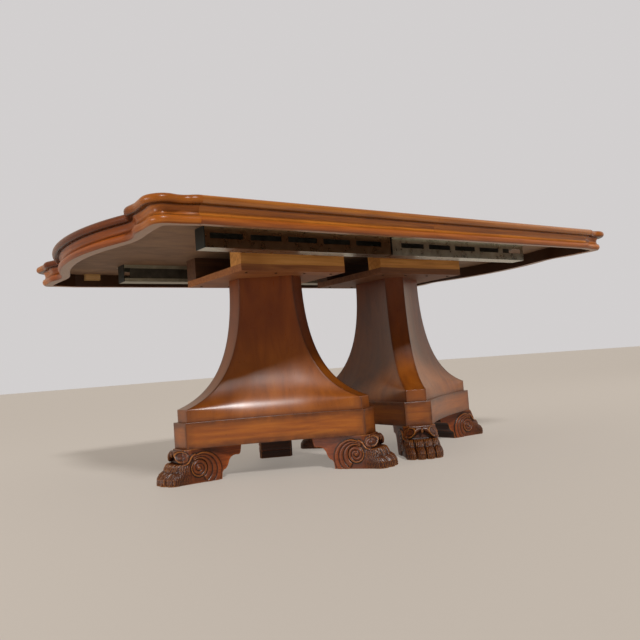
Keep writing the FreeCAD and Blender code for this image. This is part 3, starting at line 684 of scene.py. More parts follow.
band = upright(BASE_REACH, PLINTH_TOP, BAND_TOP, BAND_FOOT, BAND_HEAD)
flare = [(*on_flare((i + FLARE_START) / (FLARE_STEPS + FLARE_START)), 0.0 if i else FLARE_GLAZE)
         for i in range(FLARE_STEPS + 1)]
column_mesh = ringed_mesh("column", band + flare, COLUMN_CORNER, turned_below=BAND_TOP, roll_mm=ROLL_MM)
plinth_mesh = ringed_mesh(
    "plinth", upright(PLINTH_REACH, PLINTH_LOW, PLINTH_TOP, PLINTH_EDGE, PLINTH_EDGE[::-1]), PLINTH_CORNER)
print("column:", len(column_mesh.polygons), "faces; plinth:", len(plinth_mesh.polygons))

# %% [markdown]
# A rebuilt piece stands in the place of its solid, moves with the same half of the table and takes the
# finish that it is given. The left half is the right half turned round, so one mesh serves both.

# %% Stand the pedestals
PEDESTAL_X = 282 * MM


def stand(name, mesh, material, side, node_name, angle=0.0, out=PEDESTAL_X):
    """Puts a piece on its half of the table, in place of its solid."""
    obj = bpy.data.objects.new(name, mesh)
    bpy.context.scene.collection.objects.link(obj)
    half = 0.0 if side == "right" else math.pi
    spot = Matrix.Rotation(half, 4, "Z") @ Matrix.Translation((out, 0, 0))
    obj.matrix_world = spot @ Matrix.Rotation(angle, 4, "Z")
    dress(obj, material)
    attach(obj, side + "_half")
    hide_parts(node_name)


for side in ("left", "right"):
    for piece, mesh, lacquer in (("column", column_mesh, column_lacquer),
                                 ("plinth", plinth_mesh, plinth_lacquer)):
        stand(f"{side}_lacquered_{piece}", mesh, lacquer, side, f"{side}_{piece}")
print("pedestals stand", PEDESTAL_X, "m from the middle")

# %% [markdown]
# ## Moulded aprons
# Under the nosing runs a moulded apron: a deep cove over a bead with a small lip on it, which
# catches a line of light. At the bowed ends its face follows the bulbs and notches of the top,
# but its inner edge was sawn in one easy sweep. So one section is carried along a plan line,
# and at the ends its points are smoothed along the way the deeper in they lie. The plan of an
# end is a row of corners with rounding radii, as on the solid.

# %% Plan of an end
SEAM, HALF_WIDTH = 784.0, 584.0
QUARTER = [(799, 584, 45), (828, 566, 40), (880, 582, 50), (919, 540, 50), (912, 460, 60),
           (919, 410, 50), (891.9, 348, 12)]
BOW_APEX = (1039.6, 0, 863.9)
PLAN_STEP, FEWEST_STEPS = 4.0, 4


def length_along(line):
    """Distance of each point of a line from its start."""
    return np.concatenate([[0], np.cumsum(np.hypot(*np.diff(line, axis=0).T))])


def plan_of_end():
    """Evenly spaced points along the edge of one end, from seam to seam."""
    front = [(x, -y, r) for x, y, r in QUARTER]
    corners = [(SEAM, -HALF_WIDTH, 0), *front, BOW_APEX, *QUARTER[::-1], (SEAM, HALF_WIDTH, 0)]
    spots = [Vector(c[:2]) for c in corners]
    runs = [b - a for a, b in zip(spots, spots[1:])]
    turns = [0.0] + [math.atan2(a.cross(b), a.dot(b)) for a, b in zip(runs, runs[1:])] + [0.0]
    cut = [c[2] * math.tan(abs(turn) / 2) for c, turn in zip(corners, turns)]
    for i, run in enumerate(runs):
        crowding = max(1.0, (cut[i] + cut[i + 1]) / run.length)
        cut[i] /= crowding
        cut[i + 1] /= crowding
    line = [spots[0]]
    for i in range(1, len(spots) - 1):
        way = runs[i - 1].normalized()
        first = spots[i] - way * cut[i]
        radius = cut[i] / math.tan(turns[i] / 2)
        arm = -Vector((-way.y, way.x)) * radius
        steps = max(FEWEST_STEPS, int(abs(turns[i] * radius) / PLAN_STEP))
        line += [first - arm + Matrix.Rotation(turns[i] * s / steps, 2) @ arm for s in range(steps + 1)]
    line = np.array([*line, spots[-1]])
    run = length_along(line)
    even = np.linspace(0, run[-1], int(run[-1] / PLAN_STEP))
    return np.stack([np.interp(even, run, line[:, n]) for n in (0, 1)], 1)


plan = plan_of_end()
print("plan of an end:", len(plan), "points,", round(length_along(plan)[-1]), "mm long")

# %% [markdown]
# The section is two arcs and some straight runs. Each of its points says how far in it lies, its height,
# how much painted shade it takes, and over what length it is smoothed at a bowed end. The painted shade
# lies in the creases under the nosing and over the bead, at the foot of the bead, and on the inner face,
# which was never lacquered; there it is set above 1, so that the face stays dark where the smear is thin.

# %% Section of the apron
APRON_LOW, BARE_FROM = 694.0, 697.0
COVE = ((20.0, NOSING_LOW), (27.5, 727.0), (23.5, 714.5))
LIP = (18.8, 713.6)
BEAD = ((18.2, 712.8), (15.0, 703.5), (22.0, APRON_LOW))
# Painted shade in the creases, at the foot of the bead and on the inner face.
COVE_SHADE = (1.0, 0.0, 0.0, 0.0, 0.0, 0.0, 0.0, 0.45, 0.9)
BEAD_SHADE = (0.0, 0.0, 0.0, 0.0, 0.0, 0.0, 0.0, 0.25, 0.5)
INNER_SHADE = 2.0
COVE_SWEEP, LIP_SWEEP, BEAD_SWEEP, SAWN_SWEEP = 16.0, 20.0, 24.0, 46.0
SAWN_INSET = 38.0


def through(start, middle, end, share):
    """Point on a parabola through three points."""
    return tuple(a * (1 - share) ** 2 + (2 * m - (a + b) / 2) * 2 * share * (1 - share) + b * share ** 2
                 for a, m, b in zip(start, middle, end))


def arc(ends_and_middle, shade_marks, sweep):
    """Section points along one arc, one for each mark of painted shade."""
    last = len(shade_marks) - 1
    return [(*through(*ends_and_middle, i / last), glaze, sweep) for i, glaze in enumerate(shade_marks)]


section = arc(COVE, COVE_SHADE, COVE_SWEEP) + [(*LIP, 0.0, LIP_SWEEP)] + arc(BEAD, BEAD_SHADE, BEAD_SWEEP)
section += [(SAWN_INSET, APRON_LOW, 0.0, SAWN_SWEEP), (SAWN_INSET, BARE_FROM, INNER_SHADE, SAWN_SWEEP),
            (SAWN_INSET, NOSING_LOW, INNER_SHADE, SAWN_SWEEP)]
print(len(section), "points in the apron's section")

# %% [markdown]
# To carry a point of the section along the plan, the plan line is moved in by the point's inset and
# then averaged over the point's length. The line is first made longer at both ends, so that the
# averaging doesn't pull them in.

# %% A point carried along a line
EXTRA_POINTS, WINDOW_POINTS = 60, 40


def carried(line, inset, sweep):
    """A plan line moved in by an inset, smoothed over a length in millimetres."""
    lead = np.arange(1, EXTRA_POINTS + 1)[:, None]
    longer = np.concatenate([line[0] - (line[1] - line[0]) * lead[::-1], line,
                             line[-1] + (line[-1] - line[-2]) * lead])
    way = np.gradient(longer, axis=0)
    way /= np.hypot(*way.T)[:, None]
    inset = np.pad(np.broadcast_to(inset, len(line)), EXTRA_POINTS, mode="edge")
    moved = longer + inset[:, None] * np.stack([-way[:, 1], way[:, 0]], 1)
    if sweep:
        window = np.arange(-WINDOW_POINTS, WINDOW_POINTS + 1)
        weights = np.exp(-0.5 * (window * PLAN_STEP / sweep) ** 2)
        rows = np.pad(moved, ((WINDOW_POINTS, WINDOW_POINTS), (0, 0)), mode="edge")
        moved = np.stack([np.convolve(rows[:, n], weights / weights.sum(), "valid") for n in (0, 1)], 1)
    return moved[EXTRA_POINTS:-EXTRA_POINTS]


print("lines are smoothed over", 2 * WINDOW_POINTS * PLAN_STEP, "mm")

# %% [markdown]
# All points of the section, carried like this, make the apron's mesh. At a bowed end the sawn face
# also widens away from its seams. Blender then turns all faces outwards.

# %% Apron along a line
SAWN_WIDER, WIDENS_OVER = 12.0, 120.0
MOULDING_CRISP_DEGREES = 35


def swept(name, line, bowed):
    """Closed mesh of the section carried along a plan line."""
    run = length_along(line)
    from_end = np.clip(np.minimum(run, run[-1] - run) / WIDENS_OVER, 0, 1)
    verts, marks, veneer, depth, before = [], [], [], 0.0, section[0][:2]
    # The third value of each section point is its share of painted shade.
    for inset, height, glaze, sweep in section:
        depth += math.dist(before, (inset, height))
        before = (inset, height)
        if bowed and inset == SAWN_INSET:
            inset = inset + SAWN_WIDER * from_end
        track = carried(line, inset, sweep if bowed else 0.0)
        verts += [(x * MM, y * MM, height * MM) for x, y in track]
        marks += [glaze] * len(track)
        for length in run:
            veneer += [length * MM, depth * MM, 0.0]
    count = len(line)
    starts = [j * count for j in range(len(section))]
    faces = [(a + i, a + i + 1, b + i + 1, b + i)
             for a, b in zip(starts, starts[1:] + starts[:1]) for i in range(count - 1)]
    faces += [tuple(starts), tuple(start + count - 1 for start in reversed(starts))]
    mesh = veneered_mesh(name, verts, faces, marks, veneer)
    shell = bmesh.new()
    shell.from_mesh(mesh)
    bmesh.ops.recalc_face_normals(shell, faces=shell.faces)
    shell.to_mesh(mesh)
    shell.free()
    mesh.shade_smooth()
    mesh.set_sharp_from_angle(angle=math.radians(MOULDING_CRISP_DEGREES))
    return mesh


bowed_apron = swept("bowed_apron", plan, True)
print(len(bowed_apron.polygons), "faces in a bowed apron")

# %% [markdown]
# Three meshes serve all six aprons: the left half of the table is the right half turned round, so
# its front apron is the right half's rear one.

# %% Stand the aprons
RUN_POINTS = 25
apron_corners = frame["nodes"]["right_front_apron"].bound_box
inner_end = min(place[0] for place in apron_corners) / MM
front_line = np.linspace((inner_end, -HALF_WIDTH), (SEAM, -HALF_WIDTH), RUN_POINTS)
rear_line = np.linspace((SEAM, HALF_WIDTH), (inner_end, HALF_WIDTH), RUN_POINTS)
front_apron = swept("front_apron_run", front_line, False)
rear_apron = swept("rear_apron_run", rear_line, False)
for side, runs in (("right", (front_apron, rear_apron)), ("left", (rear_apron, front_apron))):
    stand(f"{side}_bowed_apron", bowed_apron, end_apron_lacquer, side, f"{side}_end_apron",
          out=0.0)
    for place, mesh in zip(("front", "rear"), runs):
        stand(f"{side}_{place}_moulded_apron", mesh, long_apron_lacquer, side, f"{side}_{place}_apron",
              out=0.0)
print("aprons start", round(inner_end, 2), "mm from the middle")

# %% [markdown]
# ## Carved paw feet
# Each foot is a bracket whose sides are carved with a scroll and reeds, over a lion's paw with
# four toes and cut locks of fur. Carving is easiest to say as a distance: how far is a point
# from the wood? Shapes then join with a minimum, meet with a maximum, and blend softly. The
# distance is worked out on a fine grid, and a mesh is drawn where it is zero. The foot is drawn
# in millimetres with U outwards from the pedestal's axis, V across and W up.

# %% Distance grid
GRID_MM = 1.25
LOW = np.array((160.0, -71.0, -2.6), np.float32)
HIGH = np.array((437.0, 71.6, 109.0), np.float32)
AXES = [np.arange(a, b, GRID_MM, dtype=np.float32) for a, b in zip(LOW, HIGH)]
U, V, W = np.meshgrid(*AXES, indexing="ij", sparse=True)
SIDE_U, SIDE_W = U[:, 0, :], W[0, :, :]


def soft_min(a, b, blend):
    """Joins two shapes with a rounded seam."""
    h = np.clip(0.5 + 0.5 * (b - a) / blend, 0, 1)
    return b * (1 - h) + a * h - blend * h * (1 - h)


def soft_max(a, b, blend):
    """What two shapes share, with a rounded edge."""
    return -soft_min(-a, -b, blend)


def step_between(x, low, high):
    """Smooth rise from 0 to 1 between two values."""
    t = np.clip((x - low) / (high - low), 0, 1)
    return t * t * (3 - 2 * t)


print("grid", [len(a) for a in AXES])

# %% [markdown]
# A side view is drawn as an outline of straight segments. The distance to it is that to its nearest
# segment, and a point is inside when a line from it crosses the outline an odd number of times.

# %% Distance to an outline
FAR = 1e9


def from_segment(start, end, u, w):
    """Steps along U and W from the nearest point of a straight segment."""
    d0, d1 = end[0] - start[0], end[1] - start[1]
    share = np.clip(((u - start[0]) * d0 + (w - start[1]) * d1) / (d0 * d0 + d1 * d1), 0, 1)
    return u - start[0] - share * d0, w - start[1] - share * d1


def polygon_distance(points, u, w):
    """Distance to a closed outline, negative inside."""
    u, w = np.broadcast_arrays(u, w)
    best = np.full(u.shape, FAR, np.float32)
    inside = np.zeros(u.shape, bool)
    for start, end in zip(points, points[1:] + points[:1]):
        off_u, off_w = from_segment(start, end, u, w)
        best = np.minimum(best, off_u ** 2 + off_w ** 2)
        if start[1] != end[1]:
            crossing = (end[0] - start[0]) * (w - start[1]) / (end[1] - start[1]) + start[0]
            inside ^= ((start[1] > w) != (end[1] > w)) & (u < crossing)
    return np.where(inside, -1, 1) * np.sqrt(best)


print("outlines ready")

# %% [markdown]
# The sides of the bracket are a relief: a half-width that swells at each reed and coil. A reed is
# half round, a coil is a half-round ridge that winds in to a round eye, and a rim is a half-round
# cord laid along a line.

# %% Reeds, coils and rims
COIL_GROUND, COIL_OUTSIDE, COIL_EDGE = 0.8, 9, (-0.5, 1.5)


def dome(share):
    """Height of a half circle, from 1 in its middle to 0 at a share of 1."""
    return np.sqrt(np.clip(1 - share ** 2, 0, 1))


def half_round(share):
    """0 to 1 across each reed, round on top with a sharp valley between two reeds."""
    return dome(2 * (share - np.floor(share)) - 1)


def polar(centre):
    """Distance from a centre and angle round it, in degrees, on the foot's side."""
    du, dw = SIDE_U - centre[0], SIDE_W - centre[1]
    return np.hypot(du, dw), np.degrees(np.arctan2(dw, du)) % 360


def coil_relief(centre, radius, pitch, height, eye_radius, eye_height):
    """Spiral ridge that winds in to a round eye; far below zero outside its radius."""
    away, turn = polar(centre)
    ridge = height * half_round(away / pitch - turn / 360)
    eye = eye_height * dome(away / eye_radius)
    inside = step_between(radius - away, *COIL_EDGE)
    return np.maximum(ridge + COIL_GROUND, eye) * inside - COIL_OUTSIDE * (1 - inside)


def line_distance(points):
    """Distance to a line of segments on the foot's side."""
    best = np.full(np.broadcast_shapes(SIDE_U.shape, SIDE_W.shape), FAR, np.float32)
    for start, end in zip(points, points[1:]):
        best = np.minimum(best, np.hypot(*from_segment(start, end, SIDE_U, SIDE_W)))
    return best


print("side view of", SIDE_U.size, "by", SIDE_W.size, "points")

# %% [markdown]
# The bracket's side view is one outline. Three reeds leave the small upper scroll, run narrow over
# the big coil and spread towards the heel, so the angle round the coil's eye says how wide they
# are. Round the small scroll the side leans back, so that its curl looks forwards and up as well
# as sideways. Steep relief overstates the distance to the wood, so the distance is scaled down.

# %% Carved bracket
BRACKET = [(240, -6), (238, 20), (234, 27), (225, 31), (218.5, 38), (214, 48), (211, 57), (205, 64),
           (197, 68.5), (188, 70), (177, 69), (171.5, 71.5), (169, 78), (167, 88), (165.5, 97),
           (165.5, 112), (356, 112), (362, 100), (366, 60), (370, 40), (370, -6)]
PLAIN_HALF = 57.0
COIL, CURL = (318.0, 46.0), (368.0, 82.5)
REEDS, REED_SEAM = 3, 0.05
REED_GROUND, REED_HEIGHT = 1.0, 4.0
REED_TURNS = (50, 70, 90, 135, 180, 212, 240)
REED_STARTS = (27, 28, 28.5, 28.5, 28.5, 29.5, 31)
REED_WIDTHS = (4.4, 4.9, 5.6, 10.2, 16, 17.5, 17)
REEDS_BEGIN, REEDS_END = (52, 66), (236, 244)
RIM = [(329, 89), (337, 85.5), (343, 79.5), (347, 72.5), (352, 66), (359, 62), (368, 60.5), (377, 62),
       (384.5, 67.5), (388.5, 74.5), (389.5, 84)]
RIM_HALF, RIM_HEIGHT = 3.4, 5.2
LEAN_OUT, LEAN_OUT_FROM = 0.85, 354
LEAN_UP, LEAN_UP_FROM, LEAN_UP_ACROSS = 0.45, 70, (340, 358)
LEAN_ABOVE = (54, 64)
RELIEF_SCALE = 0.7

away, turn = polar(COIL)
which = (away - np.interp(turn, REED_TURNS, REED_STARTS)) / np.interp(turn, REED_TURNS, REED_WIDTHS)
on_reeds = step_between(which, -REED_SEAM, REED_SEAM)
on_reeds = on_reeds * (1 - step_between(which, REEDS - REED_SEAM, REEDS + REED_SEAM))
on_reeds = on_reeds * step_between(turn, *REEDS_BEGIN) * (1 - step_between(turn, *REEDS_END))
reeds = on_reeds * (REED_GROUND + REED_HEIGHT * half_round(which))
rim = RIM_HEIGHT * dome(line_distance(RIM) / RIM_HALF)
coil = coil_relief(COIL, radius=27.5, pitch=11.0, height=4.2, eye_radius=8.0, eye_height=8.0)
curl = coil_relief(CURL, radius=19.5, pitch=11.0, height=3.6, eye_radius=8.0, eye_height=6.0)
relief = np.maximum.reduce([reeds, rim, coil, curl, np.zeros_like(reeds)])
lean_out = LEAN_OUT * np.clip(SIDE_U - LEAN_OUT_FROM, 0, None)
lean_up = LEAN_UP * np.clip(SIDE_W - LEAN_UP_FROM, 0, None) * step_between(SIDE_U, *LEAN_UP_ACROSS)
lean = (lean_out + lean_up) * step_between(SIDE_W, *LEAN_ABOVE)
side_gap = (np.abs(V) - (PLAIN_HALF + relief - lean)[:, None, :]) * RELIEF_SCALE
wood = np.maximum(polygon_distance(BRACKET, SIDE_U, SIDE_W)[:, None, :], side_gap)
print("side relief up to", round(float(relief.max()), 1), "mm")

# %% [markdown]
# Seen from the front, the small scroll is a pair of horns: each swells like a trumpet from a
# narrow waist out to its leaning curl. A long bead stands between them.

# %% Horns over the toes
WAIST, FLARED, HORN_TOP = 6.0, 19.0, 103.0
HORN_RUN, WAIST_FORWARD = (-4, 46), 7
HORN_INSIDE, HORN_SEAM = 1.5, 1.2
LONG_BEAD, LONG_BEAD_RADIUS = (381, 91), 5.0
LONG_BEAD_THIN, LONG_BEAD_TALL = 0.9, 1.8

outwards = step_between(np.abs(V), *HORN_RUN)
horn = WAIST + (FLARED - WAIST) * outwards
bar = np.hypot(U - CURL[0] - WAIST_FORWARD * (1 - outwards), W - HORN_TOP + horn) - horn
wood = soft_min(wood, np.maximum(bar, side_gap + HORN_INSIDE), HORN_SEAM)
bead_u, bead_w = (U - LONG_BEAD[0]) / LONG_BEAD_THIN, (W - LONG_BEAD[1]) / LONG_BEAD_TALL
long_bead = np.sqrt(bead_u ** 2 + V ** 2 + bead_w ** 2) - LONG_BEAD_RADIUS
wood = np.minimum(wood, long_bead * RELIEF_SCALE)
print("horns from", WAIST, "to", FLARED, "mm radius")

# %% [markdown]
# Locks of fur lie on the paw in staggered rows like tiles: each is round across, grows thicker
# downwards and ends in a point. Every lock sits in a cell, with the distance round the paw as
# one coordinate and the height as the other, so one formula carves them all. A little wave, and a
# shift from row to row, keep the rows from looking alike. A claw is a bar with round ends that
# tapers.

# %% Fur and claws
LOCK_WIDTH, LOCK_ROW, LOCK_HEIGHT, LOCKS_FROM = 5.6, 13.0, 3.4, 68
LOCK_ROOT, LOCK_POINT = 0.35, 0.02
WAVE_MM, WAVE_RATE, WAVE_SHIFT = 1.1, 0.16, 2.1
ROW_STAGGER, ROW_WANDER, WANDER_RATE = 0.5, 0.23, 5.0


def capsule(start, end, start_radius, end_radius):
    """Distance to a bar with round ends that tapers from start to end."""
    a, d = np.array(start, np.float32), np.array(end, np.float32) - np.array(start, np.float32)
    share = np.clip(((U - a[0]) * d[0] + (V - a[1]) * d[1] + (W - a[2]) * d[2]) / float(d @ d), 0, 1)
    gap = np.sqrt((U - a[0] - share * d[0]) ** 2 + (V - a[1] - share * d[1]) ** 2
                  + (W - a[2] - share * d[2]) ** 2)
    return gap - (start_radius + (end_radius - start_radius) * share)


def fur(around, height):
    """Relief of staggered pointed locks, each two rows long."""
    thickest = np.zeros(np.broadcast_shapes(around.shape, height.shape), np.float32)
    rows = (LOCKS_FROM - height) / LOCK_ROW
    for back in (0, 1):
        row = np.floor(rows) - back
        down = (rows - row) / 2
        wave = WAVE_MM * np.sin(height * WAVE_RATE + row * WAVE_SHIFT)
        cell = (around + wave) / LOCK_WIDTH + ROW_STAGGER * (row % 2)
        cell = cell + ROW_WANDER * np.sin(row * WANDER_RATE)
        across = 2 * (cell - np.floor(cell)) - 1
        narrow = np.clip(1 - down ** 3, LOCK_POINT, 1)
        lock = dome(across / narrow) * (LOCK_ROOT + (1 - LOCK_ROOT) * down)
        thickest = np.maximum(thickest, lock)
    return LOCK_HEIGHT * thickest


print("locks", LOCK_WIDTH, "mm wide")

# %% [markdown]
# The paw is a wedge with a knuckle over a flatter instep, cut by three grooves into four toes. The
# outer toes stand back, and the sides splay and swell a little. On its front the fur is measured
# across the paw, and on its sides along them.

# %% Toes of the paw
PAW = [(346, -6), (346, 55), (352, 61), (374, 64), (390, 63), (399, 57), (404, 48), (407, 40), (414, 36),
       (422, 30), (428, 21), (429.5, 10), (426, -6)]
FOOT_HEIGHT = 105.0
TOE_WIDTH, TOE_DROP, OUTER_TOE = 32.0, 15.0, 1.5
PAW_HALF, PAW_SWELL, PAW_SWELL_TOP = PLAIN_HALF + 0.5, 2.5, 62
SPLAY, SPLAY_OUT, SPLAY_DOWN = 6.0, (350, 405), (26, 62)
GROOVE, GROOVE_SHARE, GROOVE_OUT = 15.0, 0.8, (372, 402)
SIDE_FUR, FRONT_FUR, FUR_CORNER = (50, 57), (390, 405), 458
FUR_BEGIN, FUR_TOP, FUR_SUNK = (344, 352), (60, 66), 1.4
PAW_SCALE, PAW_CORNER, PAW_SEAM = 0.75, 18.0, 1.5
CLAW_ROOT, CLAW_TIP, CLAW_SEAM = (420, 20, 5.6), (428.5, 4, 2.4), 0.8

set_back = TOE_DROP * (np.abs(V) / (OUTER_TOE * TOE_WIDTH)) ** 2
profile = polygon_distance(PAW, U + set_back, W)
splay = SPLAY * step_between(U, *SPLAY_OUT) * (1 - step_between(W, *SPLAY_DOWN))
swell = PAW_SWELL * np.sin(np.clip(W / PAW_SWELL_TOP, 0, 1) * math.pi)
paw_side = np.abs(V) - (PAW_HALF + splay + swell)
groove = GROOVE * (1 - half_round(V / TOE_WIDTH))
groove = np.where(np.abs(V) < OUTER_TOE * TOE_WIDTH, groove, 0) * step_between(U + set_back, *GROOVE_OUT)
paw = soft_max(profile, paw_side, PAW_CORNER) + groove * GROOVE_SHARE
on_side = step_between(np.abs(V), *SIDE_FUR) * (1 - step_between(U, *FRONT_FUR))
around = V * (1 - on_side) + np.sign(V) * (FUR_CORNER - U) * on_side
coat = fur(around, W + 0 * U) * step_between(U, *FUR_BEGIN) * (1 - step_between(W, *FUR_TOP))
paw = (paw - coat + FUR_SUNK) * PAW_SCALE
for toe in (-1.5, -0.5, 0.5, 1.5):
    across, short = toe * TOE_WIDTH, TOE_DROP * (toe / OUTER_TOE) ** 2
    root = (CLAW_ROOT[0] - short, across, CLAW_ROOT[1])
    tip = (CLAW_TIP[0] - short, across, CLAW_TIP[1])
    paw = soft_min(paw, capsule(root, tip, CLAW_ROOT[2], CLAW_TIP[2]), CLAW_SEAM)
wood = soft_min(wood, paw, PAW_SEAM)
wood = np.maximum(np.maximum(wood, -W), W - FOOT_HEIGHT).astype(np.float32)
print("paw distances from", round(float(paw.min()), 1), "to", round(float(paw.max()), 1), "mm")

# %% [markdown]
# The mesh is drawn with a surface net: every grid cell that the surface crosses gets one point,
# at the mean of its crossings, and every grid edge that crosses it gets one quad.

# %% Surface net
def grid_corner(field, i, j, k):
    """The field's values at one corner of every cell."""
    return field[i:field.shape[0] - 1 + i, j:field.shape[1] - 1 + j, k:field.shape[2] - 1 + k]


def surface_net(field):
    """Points, in grid cells, and quads where the field is zero."""
    shape = tuple(n - 1 for n in field.shape)
    total = np.zeros((*shape, 3), np.float32)
    count = np.zeros(shape, np.int32)
    for axis in range(3):
        for p, q in ((0, 0), (0, 1), (1, 0), (1, 1)):
            at = [p, q]
            at.insert(axis, 0)
            to = list(at)
            to[axis] = 1
            a, b = grid_corner(field, *at), grid_corner(field, *to)
            crossed = (a < 0) != (b < 0)
            share = np.where(crossed, a / np.where(crossed, a - b, 1), 0)
            for n in range(3):
                total[..., n] += np.where(crossed, at[n] + (share if n == axis else 0), 0)
            count += crossed
    live = count > 0
    number = np.full(shape, -1, np.int64)
    number[live] = np.arange(live.sum())
    points = np.argwhere(live) + total[live] / count[live][:, None]
    quads = []
    for axis in range(3):
        a = field[tuple(slice(0, -1) if n == axis else slice(1, -1) for n in range(3))]
        b = field[tuple(slice(1, None) if n == axis else slice(1, -1) for n in range(3))]
        one, two = [n for n in range(3) if n != axis]
        for where, flip in (((a < 0) & (b >= 0), False), ((a >= 0) & (b < 0), True)):
            spots = np.argwhere(where)
            spots += [0 if n == axis else 1 for n in range(3)]
            loop = []
            for p, q in ((1, 1), (0, 1), (0, 0), (1, 0)):
                cell = spots.copy()
                cell[:, one] -= p
                cell[:, two] -= q
                loop.append(number[tuple(cell.T)])
            loop = np.stack(loop, 1)
            quads.append(loop[:, ::-1] if flip == (axis != 1) else loop)
    return points, np.concatenate(quads)


points, quads = surface_net(wood)
print(len(points), "points and", len(quads), "quads")

# %% [markdown]
# The same grid, smoothed, tells hollows from ridges, which the finish needs: glaze and painted shade go in
# the hollows, and painted highlight on the ridges. The difference is stored with each point of the mesh.

# %% Foot mesh with its relief
SMOOTHINGS = 8
smooth = wood.copy()
for _ in range(SMOOTHINGS):
    for axis in range(3):
        smooth = (np.roll(smooth, 1, axis) + 2 * smooth + np.roll(smooth, -1, axis)) / 4
cells = np.clip(np.round(points).astype(int), 0, np.array(wood.shape) - 1)
ridge_height = ((smooth - wood)[tuple(cells.T)] / GRID_MM).astype(np.float32)
foot_mesh = bpy.data.meshes.new("carved_foot")
foot_mesh.from_pydata(((LOW + points * GRID_MM) * MM).tolist(), [], quads.tolist())
foot_mesh.attributes.new("relief", "FLOAT", "POINT").data.foreach_set("value", ridge_height)
foot_mesh.shade_smooth()
print("relief of the foot:", np.percentile(ridge_height, (2, 25, 50, 75, 98)).round(2))

# %% [markdown]
# The feet are stained dark. The carved part is painted darker than the plain heel, as painted shade, and a
# little darker again on the paw; the inner end of a foot, under the pedestal, is painted nearly black, as
# painted shade. The distance outwards tells these zones apart, and the normal finds the face that looks
# inwards.

# %% Painted shade on a foot
CARVED_SHADE, INNER_END_SHADE = "#2A150B", "#140A05"
COIL_ZONE_MM, PAW_ZONE_MM, HEEL_ZONE_MM = (215, 275), (345, 380), (250, 300)
COIL_SHADE_SHARE, PAW_DARKENING, INNER_END_SHADE_SHARE = 0.66, 0.2, 0.85


def painted_shade_zones(tree, coords, base):
    """Darker from the coil outwards as painted shade, a little darker again on the paw, and nearly black
    painted shade on the heel's inner end.
    """
    outwards = node(tree, "ShaderNodeSeparateXYZ", {"Vector": coords}).outputs["X"]
    on_coil, on_paw, on_heel = (
        node(tree, "ShaderNodeMapRange", {
            "Value": outwards, "From Min": start * MM, "From Max": end * MM,
            "To Min": before, "To Max": after}).outputs[0]
        for (start, end), before, after in ((COIL_ZONE_MM, 0.0, COIL_SHADE_SHARE), (PAW_ZONE_MM, 0.0, PAW_DARKENING),
                                            (HEEL_ZONE_MM, 1.0, 0.0)))
    carved_share = node(tree, "ShaderNodeMath", {0: on_coil, 1: on_paw}, operation="ADD").outputs[0]
    carved_shaded = node(tree, "ShaderNodeMix", {
        0: carved_share, MIX_A: base, MIX_B: colour(CARVED_SHADE)}, data_type="RGBA").outputs[MIX_OUT]
    facing = node(tree, "ShaderNodeTexCoord").outputs["Normal"]
    inwards = node(tree, "ShaderNodeSeparateXYZ", {"Vector": facing}).outputs["X"]
    hidden = node(tree, "ShaderNodeMapRange", {
        "Value": inwards, "From Min": -0.4, "From Max": -0.7, "To Min": 0.0, "To Max": INNER_END_SHADE_SHARE})
    inner_end_share = node(tree, "ShaderNodeMath", {
        0: hidden.outputs[0], 1: on_heel}, operation="MULTIPLY").outputs[0]
    return node(tree, "ShaderNodeMix", {
        0: inner_end_share, MIX_A: carved_shaded, MIX_B: colour(INNER_END_SHADE)}, data_type="RGBA").outputs[MIX_OUT]


print("stained from", COIL_ZONE_MM[0], "mm outwards")

# %% [markdown]
# Over the stain came a glaze. The cuts are nearly black, partly glaze and partly painted shade, and the
# ridges a warm brown, partly glaze rubbed back and partly painted highlight. The material reads the stored
# relief for both. Glaze gives the carving a duller sheen than the lacquer has.

# %% Glazed carving
CARVING_FIGURE_MM = (7.0, 120.0)
CARVING_TONES = ("#723010", "#984818", "#A9571F")
CUT_GLAZE_AND_SHADE, RUBBED_AND_HIGHLIGHT = "#220E05", "#9C6228"
CUTS, CUT_SHARE = (0.12, -0.32), 0.94
RIDGES, RUBBED_AND_HIGHLIGHT_SHARE = (0.25, 0.9), 0.6


def glazed_carving(name):
    """Stained carving, nearly black in its cuts from glaze and painted shade, warm on its ridges from
    rubbing and painted highlight.
    """
    material, tree = new_material(name)
    coords = node(tree, "ShaderNodeTexCoord").outputs["Object"]
    tone, pores = wood_tones(tree, coords, CARVING_TONES, "x", CARVING_FIGURE_MM)
    tone = painted_shade_zones(tree, coords, tone)
    relief = node(tree, "ShaderNodeAttribute", attribute_name="relief").outputs["Fac"]
    for (start, end), share, added in ((CUTS, CUT_SHARE, CUT_GLAZE_AND_SHADE), (RIDGES, RUBBED_AND_HIGHLIGHT_SHARE, RUBBED_AND_HIGHLIGHT)):
        there = node(tree, "ShaderNodeMapRange", {
            "Value": relief, "From Min": start, "From Max": end, "To Min": 0.0, "To Max": share})
        tone = node(tree, "ShaderNodeMix", {
            0: there.outputs[0], MIX_A: tone, MIX_B: colour(added)}, data_type="RGBA").outputs[MIX_OUT]
    bump = node(tree, "ShaderNodeBump", {"Height": pores, "Strength": 0.15, "Distance": 0.3 * MM})
    shader = node(tree, "ShaderNodeBsdfPrincipled", {
        "Base Color": tone, "Roughness": 0.36, "Normal": bump.outputs[0],
        "IOR": RESIN_IOR, "Specular IOR Level": 0.32})
    node(tree, "ShaderNodeOutputMaterial", {"Surface": shader.outputs[0]})
    return material


carved = glazed_carving("carved_glazed_wood")
print("glaze in cuts of relief below", CUTS[0])

# %% [markdown]
# One mesh serves all six feet. Three stand round each pedestal, a third of a turn apart, with one
# that points to the end of the table.

